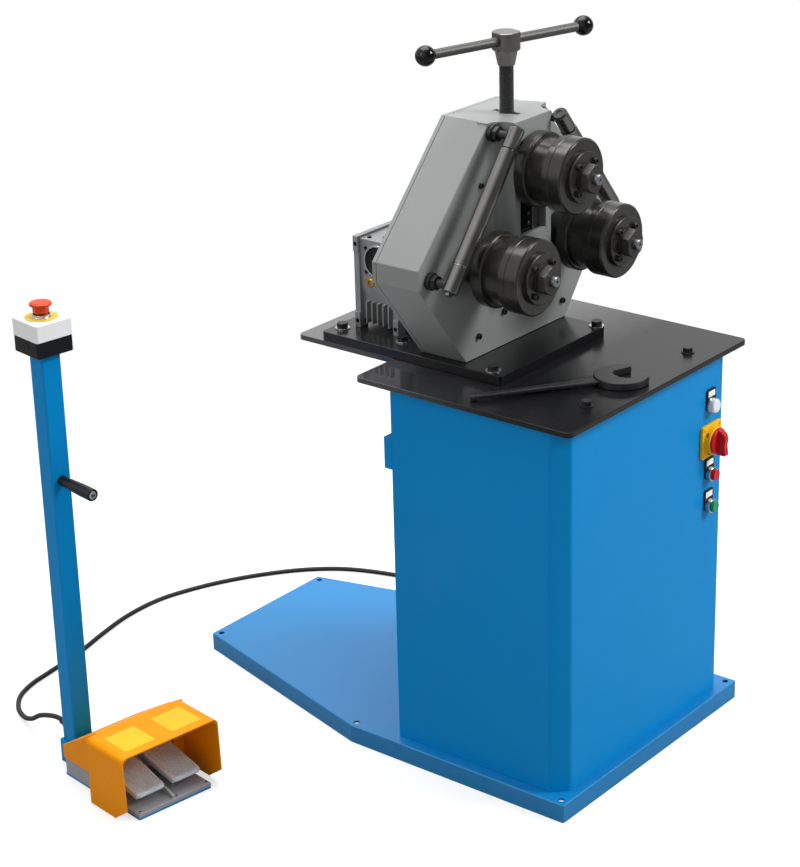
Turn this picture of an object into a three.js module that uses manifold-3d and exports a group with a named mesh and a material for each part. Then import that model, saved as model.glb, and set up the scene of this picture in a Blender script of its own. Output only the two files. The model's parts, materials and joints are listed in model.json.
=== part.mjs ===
// Motorised three-roller section bender on a sheet-metal stand, with a floor pedestal.
// Millimetres. +Z is up, the operator stands at -Y, +X is to the operator's right.
// The origin is on the floor, under the middle of the cabinet.
import * as THREE from 'three';
import { mergeVertices } from 'three/addons/utils/BufferGeometryUtils.js';
import Module from 'manifold-3d';

const wasm = await Module();
wasm.setup();

// Clearances and counts used everywhere
const seatGap = 0.3;
const runGap = 0.3;
const overrun = 5;
const fineSteps = 24;
const midSteps = 12;
const coarseSteps = 10;
const smallSteps = 8;
const headSteps = 6;
const screwSteps = 16;
const cornerSteps = 2;
const fullTurn = 2 * Math.PI;

// Stand base: a folded tray, open below, with a tapered tail
const baseWidth = 580;
const baseLength = 966;
const baseStraight = 491;
const baseTailWidth = 330;
const baseHeight = 36;
const baseSheet = 4;
const baseFrontReach = 205;
const anchorHole = 12;
const anchorInset = 15;
const ribWidth = 40;

// Cabinet
const cabinetWidth = 534;
const cabinetDepth = 372;
const cabinetHeight = 700;
const cabinetCorner = 27;
const cabinetSheet = 3;
const cabinetFlange = 30;
const doorWidth = 452;
const doorHeight = 600;
const doorDepth = 16;
const doorSheet = 2;
const doorLip = 14;
const doorBottomMargin = 50;
const hingePin = 8;
const hingeLength = 60;
const hingeInsetShare = 0.16;
const latchHeight = 60;
const latchDepth = 17;
const latchWidth = 24;
const latchLevel = 608;
const latchShaft = 12;

// Table top: a wide front and a narrower tail under the gearbox
const tableWidth = 564;
const tableFrontReach = 211;
const tableStep = 255;
const tableTailWidth = 344;
const tableRearReach = 484;
const tableThick = 10;
const tableCorner = 12;

// Plate under the roller head
const plateLeftReach = 172;
const plateRightReach = 152;
const plateFront = 13;
const plateRear = 425;
const plateThick = 18;
const plateCorner = 8;

// Roller head: an octagonal casting with a slide guide on its face
const headFront = 104;
const headDepth = 102;
const headHeight = 420;
const headFootMargin = 24.5;
const headShoulderMargin = 70;
const headTopHalf = 80;
const shoulderLow = 167;
const shoulderHigh = 205;
const headWall = 14;
const headFace = 20;
const headCoverThick = 8;
const blindWallShare = 0.25;
const guideHalf = 54.5;
const guideReach = 38;
const guideWall = 12;
const guideBottom = 106;
const guideFillet = 30;
const cavityHalf = 37;
const cavityDepth = 84;
const cavityBottom = 114;
const cavityTop = 386;
const cheekWall = 12;
const windowBottom = 211;
const windowTop = 382;
const screwPlateDepth = 90;
const screwPlateHalf = 49;

// Shafts and rollers
const lowerRollerHalfPitch = 127;
const lowerRollerLevel = 942;
const topRollerLevel = 1092;
const rollerFace = -38;
const rollerDiameter = 135;
const rollerWidth = 41;
const spacerDiameter = 119;
const spacerWidth = 35;
const rearRollerWidth = 24;
const rollerEdge = 2.5;
const rollerBore = 30;
const flangeDiameter = 92;
const flangeThick = 8;
const flangeScrewCircle = 66;
const flangeScrewHead = 11;
const flangeScrewReach = 7;
const flangeScrews = 4;
const shaftNutFlats = 46;
const shaftNutThick = 18;
const nutWasher = 3;
const shaftTipReach = 9;
const shaftTipChamfer = 1.5;
const shaftTipDiameter = 20;
const shaftCentreHole = 6;
const shaftJournal = 36;
const shaftRearJournal = 24;
const bearingDiameter = 70;
const bearingSpigot = 52;
const bearingRim = 4;

// Slide block and adjusting screw
const slideHalf = 36.5;
const slideFrontGap = 0.5;
const slideDepth = 82;
const slideBottom = 201;
const slideTop = 369;
const slideChamfer = 4;
const screwAxis = 123;
const screwDiameter = 26;
const screwNeck = 18;
const threadRunShare = 0.25;
const screwCollar = 28;
const collarThick = 9;
const collarDepth = 20;
const hubTopLevel = 1327;
const hubDiameter = 50;
const hubHeight = 32;
const hubTaper = 24;
const hubTaperDiameter = 34;
const barDiameter = 15;
const barLength = 348;
const barTurn = THREE.MathUtils.degToRad(-15.3);
const knobDiameter = 36;
const knobNeck = 20;
const knobSeatShare = 0.25;
const screwNutDiameter = 44;
const topSlotLength = 56;
const topSlotWidth = 12;

// Gears inside the head: pinion, idler and one gear on each lower shaft
const gearModule = 6;
const idlerRoom = 3;
const idlerTeeth = 16;
const pinionTeeth = 12;
const addendumShare = 0.8;
const dedendumShare = 1;
const gearWidth = 22;
const gearRearGap = 9;
const gearBacklash = 0.5;
const pressureAngle = THREE.MathUtils.degToRad(20);
const pinionOffset = -40;
const idlerPin = 20;
const idlerPinHead = 30;
const idlerHeadShare = 0.25;
const gearHub = 60;
const gearHubReach = 3;

// Side guides: two posts and a tube that turns on a rod
const guideTopHalf = 72;
const guideTopLevel = 1165.5;
const guideLowInset = 29.5;
const guideLowLevel = 944.5;
const guideStandOff = 50;
const guidePostDiameter = 15;
const guideBossDiameter = 31;
const guideBossLength = 14;
const guideNutFlats = 24;
const guideNutLength = 9;
const guideBlockDiameter = 28;
const guideTubeDiameter = 30;
const guideRodDiameter = 14;
const topBlockBeyond = 17;
const topBlockInside = 25;
const lowBlockBeyond = 13;
const lowBlockInside = 37;
const endBoltDiameter = 12;
const endBoltLength = 6;

// Worm gearbox and motor
const gearboxRight = 50;
const gearboxFront = 288;
const gearboxRear = 390;
const gearboxHeight = 176;
const wormOffset = 63;
const gearboxFlangeThick = 12;
const gearboxFlangeHalf = 76;
const gearboxFootWidth = 24;
const gearboxNotchHeight = 14;
const gearboxLugHeight = 30;
const gearboxLugReach = 3;
const gearboxCoreHalf = 62;
const gearboxCoreInset = 5;
const gearboxShoulder = 78;
const gearboxWaist = 60;
const wormTubeDiameter = 92;
const wormCapDiameter = 58;
const wormCapDepth = 5;
const coolingFins = 5;
const finThick = 4;
const finReach = 10;
const finHeight = 42;
const finLift = 10;
const outputFlangeDiameter = 120;
const outputTubeDiameter = 84;
const outputFlangeThick = 12;
const outputShaftDiameter = 25;
const motorDiameter = 140;
const motorFinReach = 9;
const motorFins = 20;
const motorFinThick = 3;
const finRootShare = 2;
const motorLength = 130;
const motorFlangeDiameter = 160;
const motorFlangeThick = 12;
const fanCoverLength = 56;
const fanCoverStraight = 42;
const fanCoverDiameter = 156;
const fanGrillDiameter = 100;
const fanSlots = 6;
const fanSlotWidth = 6;
const terminalBoxWidth = 80;
const terminalBoxDepth = 80;
const terminalBoxHeight = 42;
const terminalBoxSink = 3;

// Controls on the cabinet front
const controlEdge = 68;
const lampLevel = 638;
const switchLevel = 570;
const redLevel = 502;
const greenLevel = 438;
const legendWidth = 30;
const legendHeight = 42;
const legendThick = 3;
const legendBelow = 10;
const lampDiameter = 28;
const lampReach = 14;
const lampEdge = 2.5;
const bezelDiameter = 28;
const bezelReach = 9;
const buttonDiameter = 21;
const buttonReach = 16;
const buttonEdge = 0.5;
const buttonTravel = 4;
const buttonStem = 12;
const buttonStemLength = 34;
const buttonBodyDiameter = 26;
const buttonBodyLength = 38;
const panelHole = 22;
const switchPlateSize = 64;
const switchPlateThick = 6;
const switchCollar = 54;
const switchCollarReach = 10;
const switchKnobDiameter = 48;
const switchKnobDisc = 6;
const switchGripReach = 24;
const switchGripWidth = 18;
const switchGripLengthShare = 0.95;
const switchStem = 10;
const controlPlateWidth = 300;
const controlPlateHeight = 360;
const controlPlateThick = 3;
const controlPlateLevel = 250;
const controlPlateStandOff = 60;
const controlGearDepth = 70;
const controlGearHeight = 90;
const controlGearWidth = 60;
const controlGearCount = 3;
const controlGearPitch = 85;

// Floor pedestal, turned a little towards the machine's operator
const pedestalX = -647;
const pedestalY = 653;
const pedestalTurn = THREE.MathUtils.degToRad(-9);
const postSize = 40;
const postWall = 2.5;
const postCorner = 4;
const postHeight = 822;
const socketWall = 4;
const socketHeight = 47;
const footPlateThick = 4;
const switchLeft = -48;
const switchRight = 114;
const switchFront = 254;
const switchRear = 26;
const switchBaseHeight = 38;
const switchDeckThick = 8;
const switchRearDepth = 96;
const dividerThick = 5;
const dividerHeight = 36;
const treadleWidth = 62;
const treadleRear = 141;
const treadleFront = 240;
const treadleRearLevel = 62;
const treadleFrontLevel = 40;
const treadleThick = 7;
const treadleSkirt = 12;
const treadleRibs = 5;
const treadleRibHeight = 1.2;
const treadleRibWidth = 5;
const treadlePinch = 4;
const treadleSpan = 86;
const axleDiameter = 10;
const axleLug = 20;
const guardHalf = 108;
const guardHeight = 134;
const guardFront = 250;
const guardRear = 142;
const guardSheet = 3;
const guardLift = 1;
const guardTipFront = 255;
const guardTipRear = 217;
const guardCut = 28;
const coverLowLevel = 65;
const coverSideLevel = 39;
const guardCornerSteps = 4;
const guardCorner = 12;
const boxSize = 76;
const boxBaseHeight = 30;
const boxLidHeight = 32;
const boxCorner = 5;
const boxWall = 3;
const stopRingDiameter = 60;
const stopRingThick = 2;
const stopStem = 22;
const stopNeckDiameter = 29;
const stopCapDiameter = 40;
const stopCapLift = 12;
const stopCapHeight = 16;
const skirtLowShare = 0.33;
const skirtHighShare = 0.67;
const rimHighShare = 0.83;
const domeShare = 0.67;
const stopTravel = 6;
const gripLevel = 580;
const gripLength = 96;
const gripStraight = 32;
const gripDiameter = 23;
const gripRootDiameter = 19;
const gripScrewDiameter = 10;
const gripScrewHead = 16;
const gripCollar = 4;

// Signal cord and glands
const cordDiameter = 10;
const cordSides = 8;
const cordStepCount = 60;
const glandDiameter = 22;
const glandLength = 16;
const glandNutFlats = 24;
const glandNutLength = 8;
const glandTail = 14;
const postGlandLevel = 66;
const cabinetGlandLevel = 96;
const cabinetGlandY = 120;
const mainsGlandY = 40;

// Open-end spanner left on the table
const spannerJaw = 46;
const spannerHeadDiameter = 98;
const spannerThick = 14;
const spannerShankThick = 9;
const spannerReach = 282;
const spannerShankWide = 30;
const spannerShankNarrow = 19;
const spannerTailDiameter = 26;
const spannerJawTurn = THREE.MathUtils.degToRad(12);
const spannerThroat = 11.3;
const spannerNose = 37.4;
const spannerX = -30;
const spannerY = -144;
const spannerTurn = THREE.MathUtils.degToRad(-34.7);

// Levels and places that follow from the sizes above
const cabinetTop = baseHeight + cabinetHeight;
const controlColumn = cabinetWidth / 2 - controlEdge;
const tableTop = cabinetTop + tableThick;
const headBase = tableTop + plateThick;
const headTop = headBase + headHeight;
const headRear = headFront + headDepth;
const coverFront = headRear - headCoverThick;
const rollerRear = rollerFace + rollerWidth + spacerWidth + rearRollerWidth;
const guideFace = headFront - guideReach;
const cavityFront = guideFace + guideWall;
const gearRear = coverFront - gearRearGap;
const gearFront = gearRear - gearWidth;
const gearTeeth = Math.ceil(2 * (lowerRollerHalfPitch + idlerRoom) / gearModule - idlerTeeth);
const gearPitchRadius = gearModule * gearTeeth / 2;
const headFootHalf = lowerRollerHalfPitch + headFootMargin;
const headShoulderHalf = lowerRollerHalfPitch + gearPitchRadius + headShoulderMargin;
const guideLowHalf = headShoulderHalf - guideLowInset;
const idlerPitchRadius = gearModule * idlerTeeth / 2;
const pinionPitchRadius = gearModule * pinionTeeth / 2;
const idlerLevel = lowerRollerLevel
  - Math.sqrt((gearPitchRadius + idlerPitchRadius) ** 2 - lowerRollerHalfPitch ** 2);
const pinionLevel = idlerLevel - Math.sqrt((idlerPitchRadius + pinionPitchRadius) ** 2 - pinionOffset ** 2);
const wormLevel = pinionLevel + wormOffset;
const gearboxMiddle = (gearboxFront + gearboxRear) / 2;

const metal = (color, roughness, metalness) => new THREE.MeshStandardMaterial({ color, roughness, metalness });
const plastic = (color, roughness) => new THREE.MeshStandardMaterial({ color, roughness, metalness: 0 });
const bluePaint = plastic(0x1c7fc4, 0.42);
const greyPaint = plastic(0x8d908c, 0.5);
const blackPaint = plastic(0x1b1b1d, 0.3);
const rollerSteel = metal(0x2d2a29, 0.38, 0.8);
const darkSteel = metal(0x3b3a3a, 0.35, 0.85);
const brightSteel = metal(0xb9bbbd, 0.3, 1);
const gearSteel = metal(0x7d7f82, 0.35, 1);
const bronze = metal(0xa9773c, 0.35, 1);
const castAluminium = metal(0xa9abaa, 0.5, 0.9);
const motorPaint = plastic(0x6f7477, 0.5);
const blackPlastic = plastic(0x17181a, 0.45);
const whitePlastic = plastic(0xe8e9ea, 0.4);
const clearPlastic = plastic(0xe9eef2, 0.2);
const redPlastic = plastic(0xd23a22, 0.4);
const greenPlastic = plastic(0x0f9a63, 0.4);
const yellowPlastic = plastic(0xf6b60a, 0.4);
const orangePaint = plastic(0xf0920f, 0.4);
const pedalGrey = metal(0x8a8589, 0.5, 0.5);
const cordRubber = plastic(0x141414, 0.6);

// Shape helpers

function closed(geometry) {
  const plain = geometry.index ? geometry.toNonIndexed() : geometry.clone();
  plain.deleteAttribute('normal');
  plain.deleteAttribute('uv');
  return mergeVertices(plain);
}

function body(geometry) {
  const merged = closed(geometry);
  const vertProperties = new Float32Array(merged.attributes.position.array);
  const triVerts = new Uint32Array(merged.index.array);
  return new wasm.Manifold(new wasm.Mesh({ numProp: 3, vertProperties, triVerts }));
}

function geometryOf(solid) {
  const mesh = solid.getMesh();
  const geometry = new THREE.BufferGeometry();
  geometry.setAttribute('position', new THREE.BufferAttribute(new Float32Array(mesh.vertProperties), 3));
  geometry.setIndex(new THREE.BufferAttribute(new Uint32Array(mesh.triVerts), 1));
  geometry.computeVertexNormals();
  return geometry;
}

const join = (first, ...rest) => geometryOf(rest.reduce((sum, next) => sum.add(body(next)), body(first)));

const cut = (first, ...rest) => geometryOf(rest.reduce((sum, next) => sum.subtract(body(next)), body(first)));

const point = (x, y) => new THREE.Vector2(x, y);

const outline = (points) => new THREE.Shape(points);

function inset(points, distance) {
  return points.map((here, i) => {
    const before = points[(i + points.length - 1) % points.length];
    const after = points[(i + 1) % points.length];
    const a = here.clone().sub(before).normalize();
    const b = after.clone().sub(here).normalize();
    const spread = 1 + a.dot(b);
    return point(here.x - distance * (a.y + b.y) / spread, here.y + distance * (a.x + b.x) / spread);
  });
}

function circlePoints(radius, steps, x = 0, y = 0) {
  return Array.from({ length: steps }, (_, i) => {
    const angle = fullTurn * i / steps + Math.PI / 2;
    return point(x + radius * Math.cos(angle), y + radius * Math.sin(angle));
  });
}

function roundedBox(left, bottom, right, top, radius, steps = cornerSteps) {
  const corners = [
    [right - radius, bottom + radius, -1],
    [right - radius, top - radius, 0],
    [left + radius, top - radius, 1],
    [left + radius, bottom + radius, 2],
  ];
  return corners.flatMap(([x, y, quarter]) => Array.from({ length: steps + 1 }, (_, i) => {
    const angle = (quarter + i / steps) * Math.PI / 2;
    return point(x + radius * Math.cos(angle), y + radius * Math.sin(angle));
  }));
}

const rectangle = (left, bottom, right, top) =>
  [point(left, bottom), point(right, bottom), point(right, top), point(left, top)];

function hexagon(flats, x = 0, y = 0) {
  return circlePoints(flats / Math.sqrt(3), 6, x, y);
}

function extruded(points, depth, holes = []) {
  const shape = outline(points);
  shape.holes = holes.map((hole) => new THREE.Path(hole));
  return new THREE.ExtrudeGeometry(shape, { depth, bevelEnabled: false, steps: 1 });
}

// A prism standing on its outline in X and Y, between two levels
const uprightPrism = (points, low, high, holes) => extruded(points, high - low, holes).translate(0, 0, low);

// A prism whose outline is drawn in X and Z, between two Y values
const frontPrism = (points, near, far, holes) =>
  extruded(points, far - near, holes).rotateX(Math.PI / 2).translate(0, far, 0);

// A prism whose outline is drawn in Y and Z, between two X values
function sidePrism(points, left, right, holes) {
  const turn = new THREE.Matrix4().makeBasis(
    new THREE.Vector3(0, 1, 0), new THREE.Vector3(0, 0, 1), new THREE.Vector3(1, 0, 0));
  return extruded(points, right - left, holes).applyMatrix4(turn).translate(left, 0, 0);
}

// A turned piece about the Y axis; each profile entry is a radius and a place along Y
const turned = (profile, steps = midSteps) =>
  new THREE.LatheGeometry(profile.map(([radius, along]) => point(radius, along)), steps);

const turnedUp = (profile, steps) => turned(profile, steps).rotateX(Math.PI / 2);

const turnedAcross = (profile, steps) => turned(profile, steps).rotateZ(-Math.PI / 2);

const rod = (radius, low, high) => [[0, low], [radius, low], [radius, high], [0, high]];

const ring = (inner, outer, low, high) =>
  [[inner, low], [outer, low], [outer, high], [inner, high], [inner, low]];

// The corner radius of a faceted bore that clears a shaft of the given radius all round
const bored = (radius, steps = midSteps) => radius / Math.cos(Math.PI / steps);

// The model and its list of pieces
const model = new THREE.Group();
model.name = 'ring_roller';

function piece(name, geometry, material, parent = model) {
  const mesh = new THREE.Mesh(geometry, material);
  mesh.name = name;
  parent.add(mesh);
  return mesh;
}

function group(x, y, z, turn = 0, parent = model) {
  const holder = new THREE.Group();
  holder.position.set(x, y, z);
  holder.rotation.z = turn;
  parent.add(holder);
  return holder;
}

// Stand base

function baseOutline() {
  const half = baseWidth / 2;
  const tail = baseTailWidth / 2;
  const front = -baseFrontReach;
  const side = front + baseStraight;
  const rear = front + baseLength;
  return [
    point(-half, front), point(half, front), point(half, side),
    point(tail, rear), point(-tail, rear), point(-half, side),
  ];
}

function standBase() {
  const rim = baseOutline();
  const inner = inset(rim, baseSheet);
  const under = baseHeight - baseSheet;
  const holes = inset(rim, anchorInset).map((at) => circlePoints(anchorHole / 2, smallSteps, at.x, at.y));
  const top = uprightPrism(rim, under, baseHeight, holes);
  const skirt = uprightPrism(rim, 0, under, [inner]);
  const across = uprightPrism(
    rectangle(-baseWidth / 2 + baseSheet, -ribWidth / 2, baseWidth / 2 - baseSheet, ribWidth / 2), 0, under);
  const along = uprightPrism(
    rectangle(-ribWidth / 2, -baseFrontReach + baseSheet,
      ribWidth / 2, baseLength - baseFrontReach - baseSheet), 0, under);
  piece('base_frame', join(top, skirt, across, along), bluePaint);
}

// Cabinet with a folded top flange, a rear door opening and holes for the controls

function cabinetOutline() {
  const half = cabinetWidth / 2;
  const deep = cabinetDepth / 2;
  return [
    point(-half + cabinetCorner, -deep), point(half - cabinetCorner, -deep),
    point(half, -deep + cabinetCorner),
    point(half, deep), point(-half, deep), point(-half, -deep + cabinetCorner),
  ];
}

const smallHole = (diameter, x, y) => circlePoints(bored(diameter / 2, smallSteps), smallSteps, x, y);

const frontHole = (diameter, x, z) => frontPrism(
  smallHole(diameter, x, z), -cabinetDepth / 2 - overrun, -cabinetDepth / 2 + overrun + cabinetSheet);

const sideHole = (diameter, y, z) => sidePrism(
  smallHole(diameter, y, z), cabinetWidth / 2 - overrun - cabinetSheet, cabinetWidth / 2 + overrun);

const doorBottom = baseHeight + doorBottomMargin;
const doorHoleBottom = doorBottom + doorLip;
const doorHoleTop = doorBottom + doorHeight - doorLip;
const doorHoleHalf = doorWidth / 2 - doorLip;
const controlLevels = [lampLevel, switchLevel, redLevel, greenLevel];

function cabinet() {
  const walls = cabinetOutline();
  const shell = uprightPrism(walls, baseHeight, cabinetTop - cabinetSheet, [inset(walls, cabinetSheet)]);
  const flange = uprightPrism(walls, cabinetTop - cabinetSheet, cabinetTop, [inset(walls, cabinetFlange)]);
  const doorHole = frontPrism(
    rectangle(-doorHoleHalf, doorHoleBottom, doorHoleHalf, doorHoleTop),
    cabinetDepth / 2 - overrun - cabinetSheet, cabinetDepth / 2 + overrun);
  const holes = controlLevels.map((level) => frontHole(panelHole, controlColumn, level));
  const glands = [cabinetGlandY, mainsGlandY].map((y) => sideHole(glandDiameter, y, cabinetGlandLevel));
  piece('cabinet_shell', cut(join(shell, flange, ...hingeLeaves()), doorHole, ...holes, ...glands), bluePaint);
}

// The door hangs on two loose-pin hinges at its right edge
const hingeX = doorWidth / 2 + hingePin + runGap;
const hingeY = cabinetDepth / 2 + hingePin + runGap;
const hingeLevels = [hingeInsetShare, 1 - hingeInsetShare].map((share) => doorBottom + doorHeight * share);

function hingeLeaves() {
  return hingeLevels.map((level) => {
    const pin = uprightPrism(circlePoints(hingePin / 2, coarseSteps, hingeX, hingeY),
      level - hingeLength / 2, level + hingeLength / 2);
    const knuckle = uprightPrism(circlePoints(hingePin, coarseSteps, hingeX, hingeY),
      level - hingeLength / 2, level);
    const leaf = uprightPrism(
      rectangle(hingeX, cabinetDepth / 2 - cabinetSheet, cabinetWidth / 2, hingeY - hingePin / 2),
      level - hingeLength / 2, level);
    return join(knuckle, pin, leaf);
  });
}

function door() {
  const face = cabinetDepth / 2 + seatGap;
  const low = doorBottom;
  const high = doorBottom + doorHeight;
  const panel = frontPrism(rectangle(-doorWidth / 2, low, doorWidth / 2, high), face, face + doorDepth);
  const hollow = frontPrism(
    rectangle(-doorWidth / 2 + doorSheet, low + doorSheet, doorWidth / 2 - doorSheet, high - doorSheet),
    face - overrun, face + doorDepth - doorSheet);
  const knuckles = hingeLevels.map((level) => {
    const bottom = level + seatGap;
    const top = level + hingeLength / 2;
    const knuckle = uprightPrism(circlePoints(hingePin, coarseSteps, hingeX, hingeY), bottom, top,
      [circlePoints(bored(hingePin / 2 + runGap, coarseSteps), coarseSteps, hingeX, hingeY)]);
    const tab = uprightPrism(
      rectangle(doorWidth / 2 - hingePin, hingeY, hingeX - hingePin / 2 - runGap, face + doorDepth),
      bottom, top);
    return join(knuckle, tab);
  });
  const latchX = -cabinetWidth / 2 + latchWidth / 2;
  const latch = uprightPrism(
    rectangle(latchX - latchWidth / 2, face, -doorWidth / 2 + doorSheet, face + latchDepth),
    latchLevel - latchHeight / 2, latchLevel + latchHeight / 2);
  const bolt = frontPrism(rectangle(-doorWidth / 2, latchLevel - latchShaft, -doorHoleHalf + latchShaft,
    latchLevel + latchShaft), face - latchShaft / 2, face + doorDepth);
  const pan = cut(panel, hollow);
  piece('cabinet_door', join(pan, ...knuckles, latch, cut(bolt, boltRelief(face))), bluePaint);
}

// The latch bolt stays clear of the edge of the door opening
function boltRelief(face) {
  return frontPrism(rectangle(-doorWidth / 2 - overrun, latchLevel - 2 * latchShaft,
    -doorHoleHalf + runGap, latchLevel + 2 * latchShaft), face - latchShaft, face);
}

// Mounting plate with the contactors, on the inside of the cabinet's left wall
function controlGear() {
  const wall = -cabinetWidth / 2 + cabinetSheet;
  const back = wall + controlPlateStandOff;
  const low = controlPlateLevel;
  const high = low + controlPlateHeight;
  const halfWide = controlPlateWidth / 2;
  const plate = sidePrism(rectangle(-halfWide, low, halfWide, high), back, back + controlPlateThick);
  const feet = [[-halfWide, low], [-halfWide, high], [halfWide, low], [halfWide, high]].map(([y, z]) => {
    const inY = y - Math.sign(y) * buttonStem;
    const inZ = z + Math.sign(low + high - 2 * z) * buttonStem;
    return sidePrism(circlePoints(buttonStem / 2, coarseSteps, inY, inZ), wall, back);
  });
  const middle = (low + high) / 2;
  const units = Array.from({ length: controlGearCount }, (_, i) => {
    const y = (i - (controlGearCount - 1) / 2) * controlGearPitch;
    return sidePrism(
      rectangle(y - controlGearWidth / 2, middle, y + controlGearWidth / 2, middle + controlGearHeight),
      back + controlPlateThick, back + controlPlateThick + controlGearDepth);
  });
  piece('control_gear', join(plate, ...feet, ...units), castAluminium);
}

// Table top
function table() {
  const half = tableWidth / 2;
  const tail = tableTailWidth / 2;
  const wide = roundedBox(-half, -tableFrontReach, half, tableStep, tableCorner);
  const narrow = roundedBox(-tail, 0, tail, tableRearReach, tableCorner);
  piece('table_top', join(
    uprightPrism(wide, cabinetTop, tableTop), uprightPrism(narrow, cabinetTop, tableTop)), blackPaint);
}

function headPlate() {
  const rim = roundedBox(-plateLeftReach, plateFront, plateRightReach, plateRear, plateCorner);
  piece('head_base_plate', uprightPrism(rim, tableTop, headBase), blackPaint);
}

// Roller head

function headOutline() {
  return [
    point(-headFootHalf, headBase), point(headFootHalf, headBase),
    point(headShoulderHalf, headBase + shoulderLow), point(headShoulderHalf, headBase + shoulderHigh),
    point(headTopHalf, headTop), point(-headTopHalf, headTop),
    point(-headShoulderHalf, headBase + shoulderHigh), point(-headShoulderHalf, headBase + shoulderLow),
  ];
}

const lowerShaftX = [-lowerRollerHalfPitch, lowerRollerHalfPitch];

function headCasing() {
  const wall = headOutline();
  const shell = frontPrism(wall, headFront, coverFront);
  const room = frontPrism(inset(wall, headWall), headFront + headFace, coverFront + overrun);
  const guide = frontPrism(
    rectangle(-guideHalf, headBase + guideBottom, guideHalf, headTop), guideFace, headFront + headFace);
  const fillets = [-1, 1].map(guideFilletAt);
  const cheeks = frontPrism(
    rectangle(-cavityHalf - cheekWall, headBase + cavityBottom - cheekWall,
      cavityHalf + cheekWall, headTop - headWall / 2),
    headFront, cavityFront + cavityDepth);
  const cavity = frontPrism(
    rectangle(-cavityHalf, headBase + cavityBottom, cavityHalf, headBase + cavityTop),
    cavityFront, cavityFront + cavityDepth + overrun);
  const sightWindow = frontPrism(
    rectangle(-cavityHalf, headBase + windowBottom, cavityHalf, headBase + windowTop),
    guideFace - overrun, cavityFront + overrun);
  const bearingHoles = lowerShaftX.map((x) => frontPrism(
    circlePoints(bearingSpigot / 2 + seatGap, midSteps, x, lowerRollerLevel),
    headFront - overrun, headFront + headFace + overrun));
  const nutHole = turnedUp(
    rod(screwNutDiameter / 2 + seatGap, headBase + cavityTop - overrun, headTop - overrun))
    .translate(0, screwAxis, 0);
  const screwHole = turnedUp(rod(bored(screwDiameter / 2 + runGap), headTop - 2 * overrun, headTop + overrun))
    .translate(0, screwAxis, 0);
  const slot = uprightPrism(
    rectangle(-topSlotWidth / 2, screwAxis - topSlotLength / 2,
      topSlotWidth / 2, screwAxis + topSlotLength / 2),
    headTop - overrun - topSlotWidth, headTop + overrun);
  const hollowed = join(cut(shell, room), guide, ...fillets, cheeks, screwPlate());
  const openings = [cavity, sightWindow, ...bearingHoles, nutHole, screwHole, slot];
  piece('head_casing', cut(hollowed, ...openings), greyPaint);
}

// The guide runs out into the face in a hollow curve, spot-faced round the upper guide post
function guideFilletAt(sign) {
  const centre = sign * (guideHalf + guideFillet);
  const low = headBase + guideBottom;
  const block = uprightPrism(rectangle(Math.min(centre, sign * guideHalf), headFront - guideFillet,
    Math.max(centre, sign * guideHalf), headFront + headFace), low, headTop);
  const hollow = uprightPrism(circlePoints(guideFillet, midSteps, centre, headFront - guideFillet),
    low - overrun, headTop + overrun);
  const spotFace = frontPrism(
    circlePoints(guideBossDiameter / 2 + seatGap, midSteps, sign * guideTopHalf, guideTopLevel),
    guideFace - overrun, headFront);
  return cut(block, hollow, spotFace);
}

// A thick bridge under the top of the casting carries the bronze nut
function screwPlate() {
  return frontPrism(
    rectangle(-screwPlateHalf, headBase + cavityTop, screwPlateHalf, headTop - headWall / 2),
    headFront, headFront + screwPlateDepth - headFace / 2);
}

function headCover() {
  const plate = frontPrism(headOutline(), coverFront, headRear);
  const bosses = lowerShaftX.map((x) => turned(
    rod(shaftRearJournal, coverFront - gearRearGap + gearHubReach + runGap, coverFront + headCoverThick / 2))
    .translate(x, 0, lowerRollerLevel));
  const boreEnd = headRear - blindWallShare * headCoverThick;
  const bores = lowerShaftX.map((x) => turned(
    rod(bored(shaftRearJournal / 2 + runGap), coverFront - gearRearGap - overrun, boreEnd))
    .translate(x, 0, lowerRollerLevel));
  const idlerHeadFront = gearFront - idlerHeadShare * idlerPin;
  const idlerAxle = turned([
    [0, idlerHeadFront], [idlerPinHead / 2, idlerHeadFront],
    [idlerPinHead / 2, gearFront - runGap], [idlerPin / 2, gearFront - runGap],
    [idlerPin / 2, gearRear + gearHubReach], [idlerPinHead / 2, gearRear + gearHubReach + runGap],
    [idlerPinHead / 2, coverFront + headCoverThick / 2], [0, coverFront + headCoverThick / 2],
  ]).translate(0, 0, idlerLevel);
  const outputHole = turned(
    rod(bored(outputShaftDiameter / 2 + runGap), coverFront - overrun, headRear + overrun))
    .translate(pinionOffset, 0, pinionLevel);
  piece('head_rear_cover', cut(join(plate, ...bosses, idlerAxle), ...bores, outputHole), greyPaint);
}

function frontBearing(side, x) {
  const inner = bored(shaftJournal / 2 + runGap);
  const outer = bearingDiameter / 2;
  const nose = guideFace - bearingRim + 2 * runGap;
  const profile = [
    [inner, nose], [outer - bearingRim, nose], [outer, nose + bearingRim], [outer, headFront],
    [bearingSpigot / 2, headFront], [bearingSpigot / 2, headFront + headFace],
    [inner, headFront + headFace], [inner, nose],
  ];
  piece(`${side}_bearing`, turned(profile).translate(x, 0, lowerRollerLevel), darkSteel);
}

// Gears

const involute = (angle) => Math.tan(angle) - angle;

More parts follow.
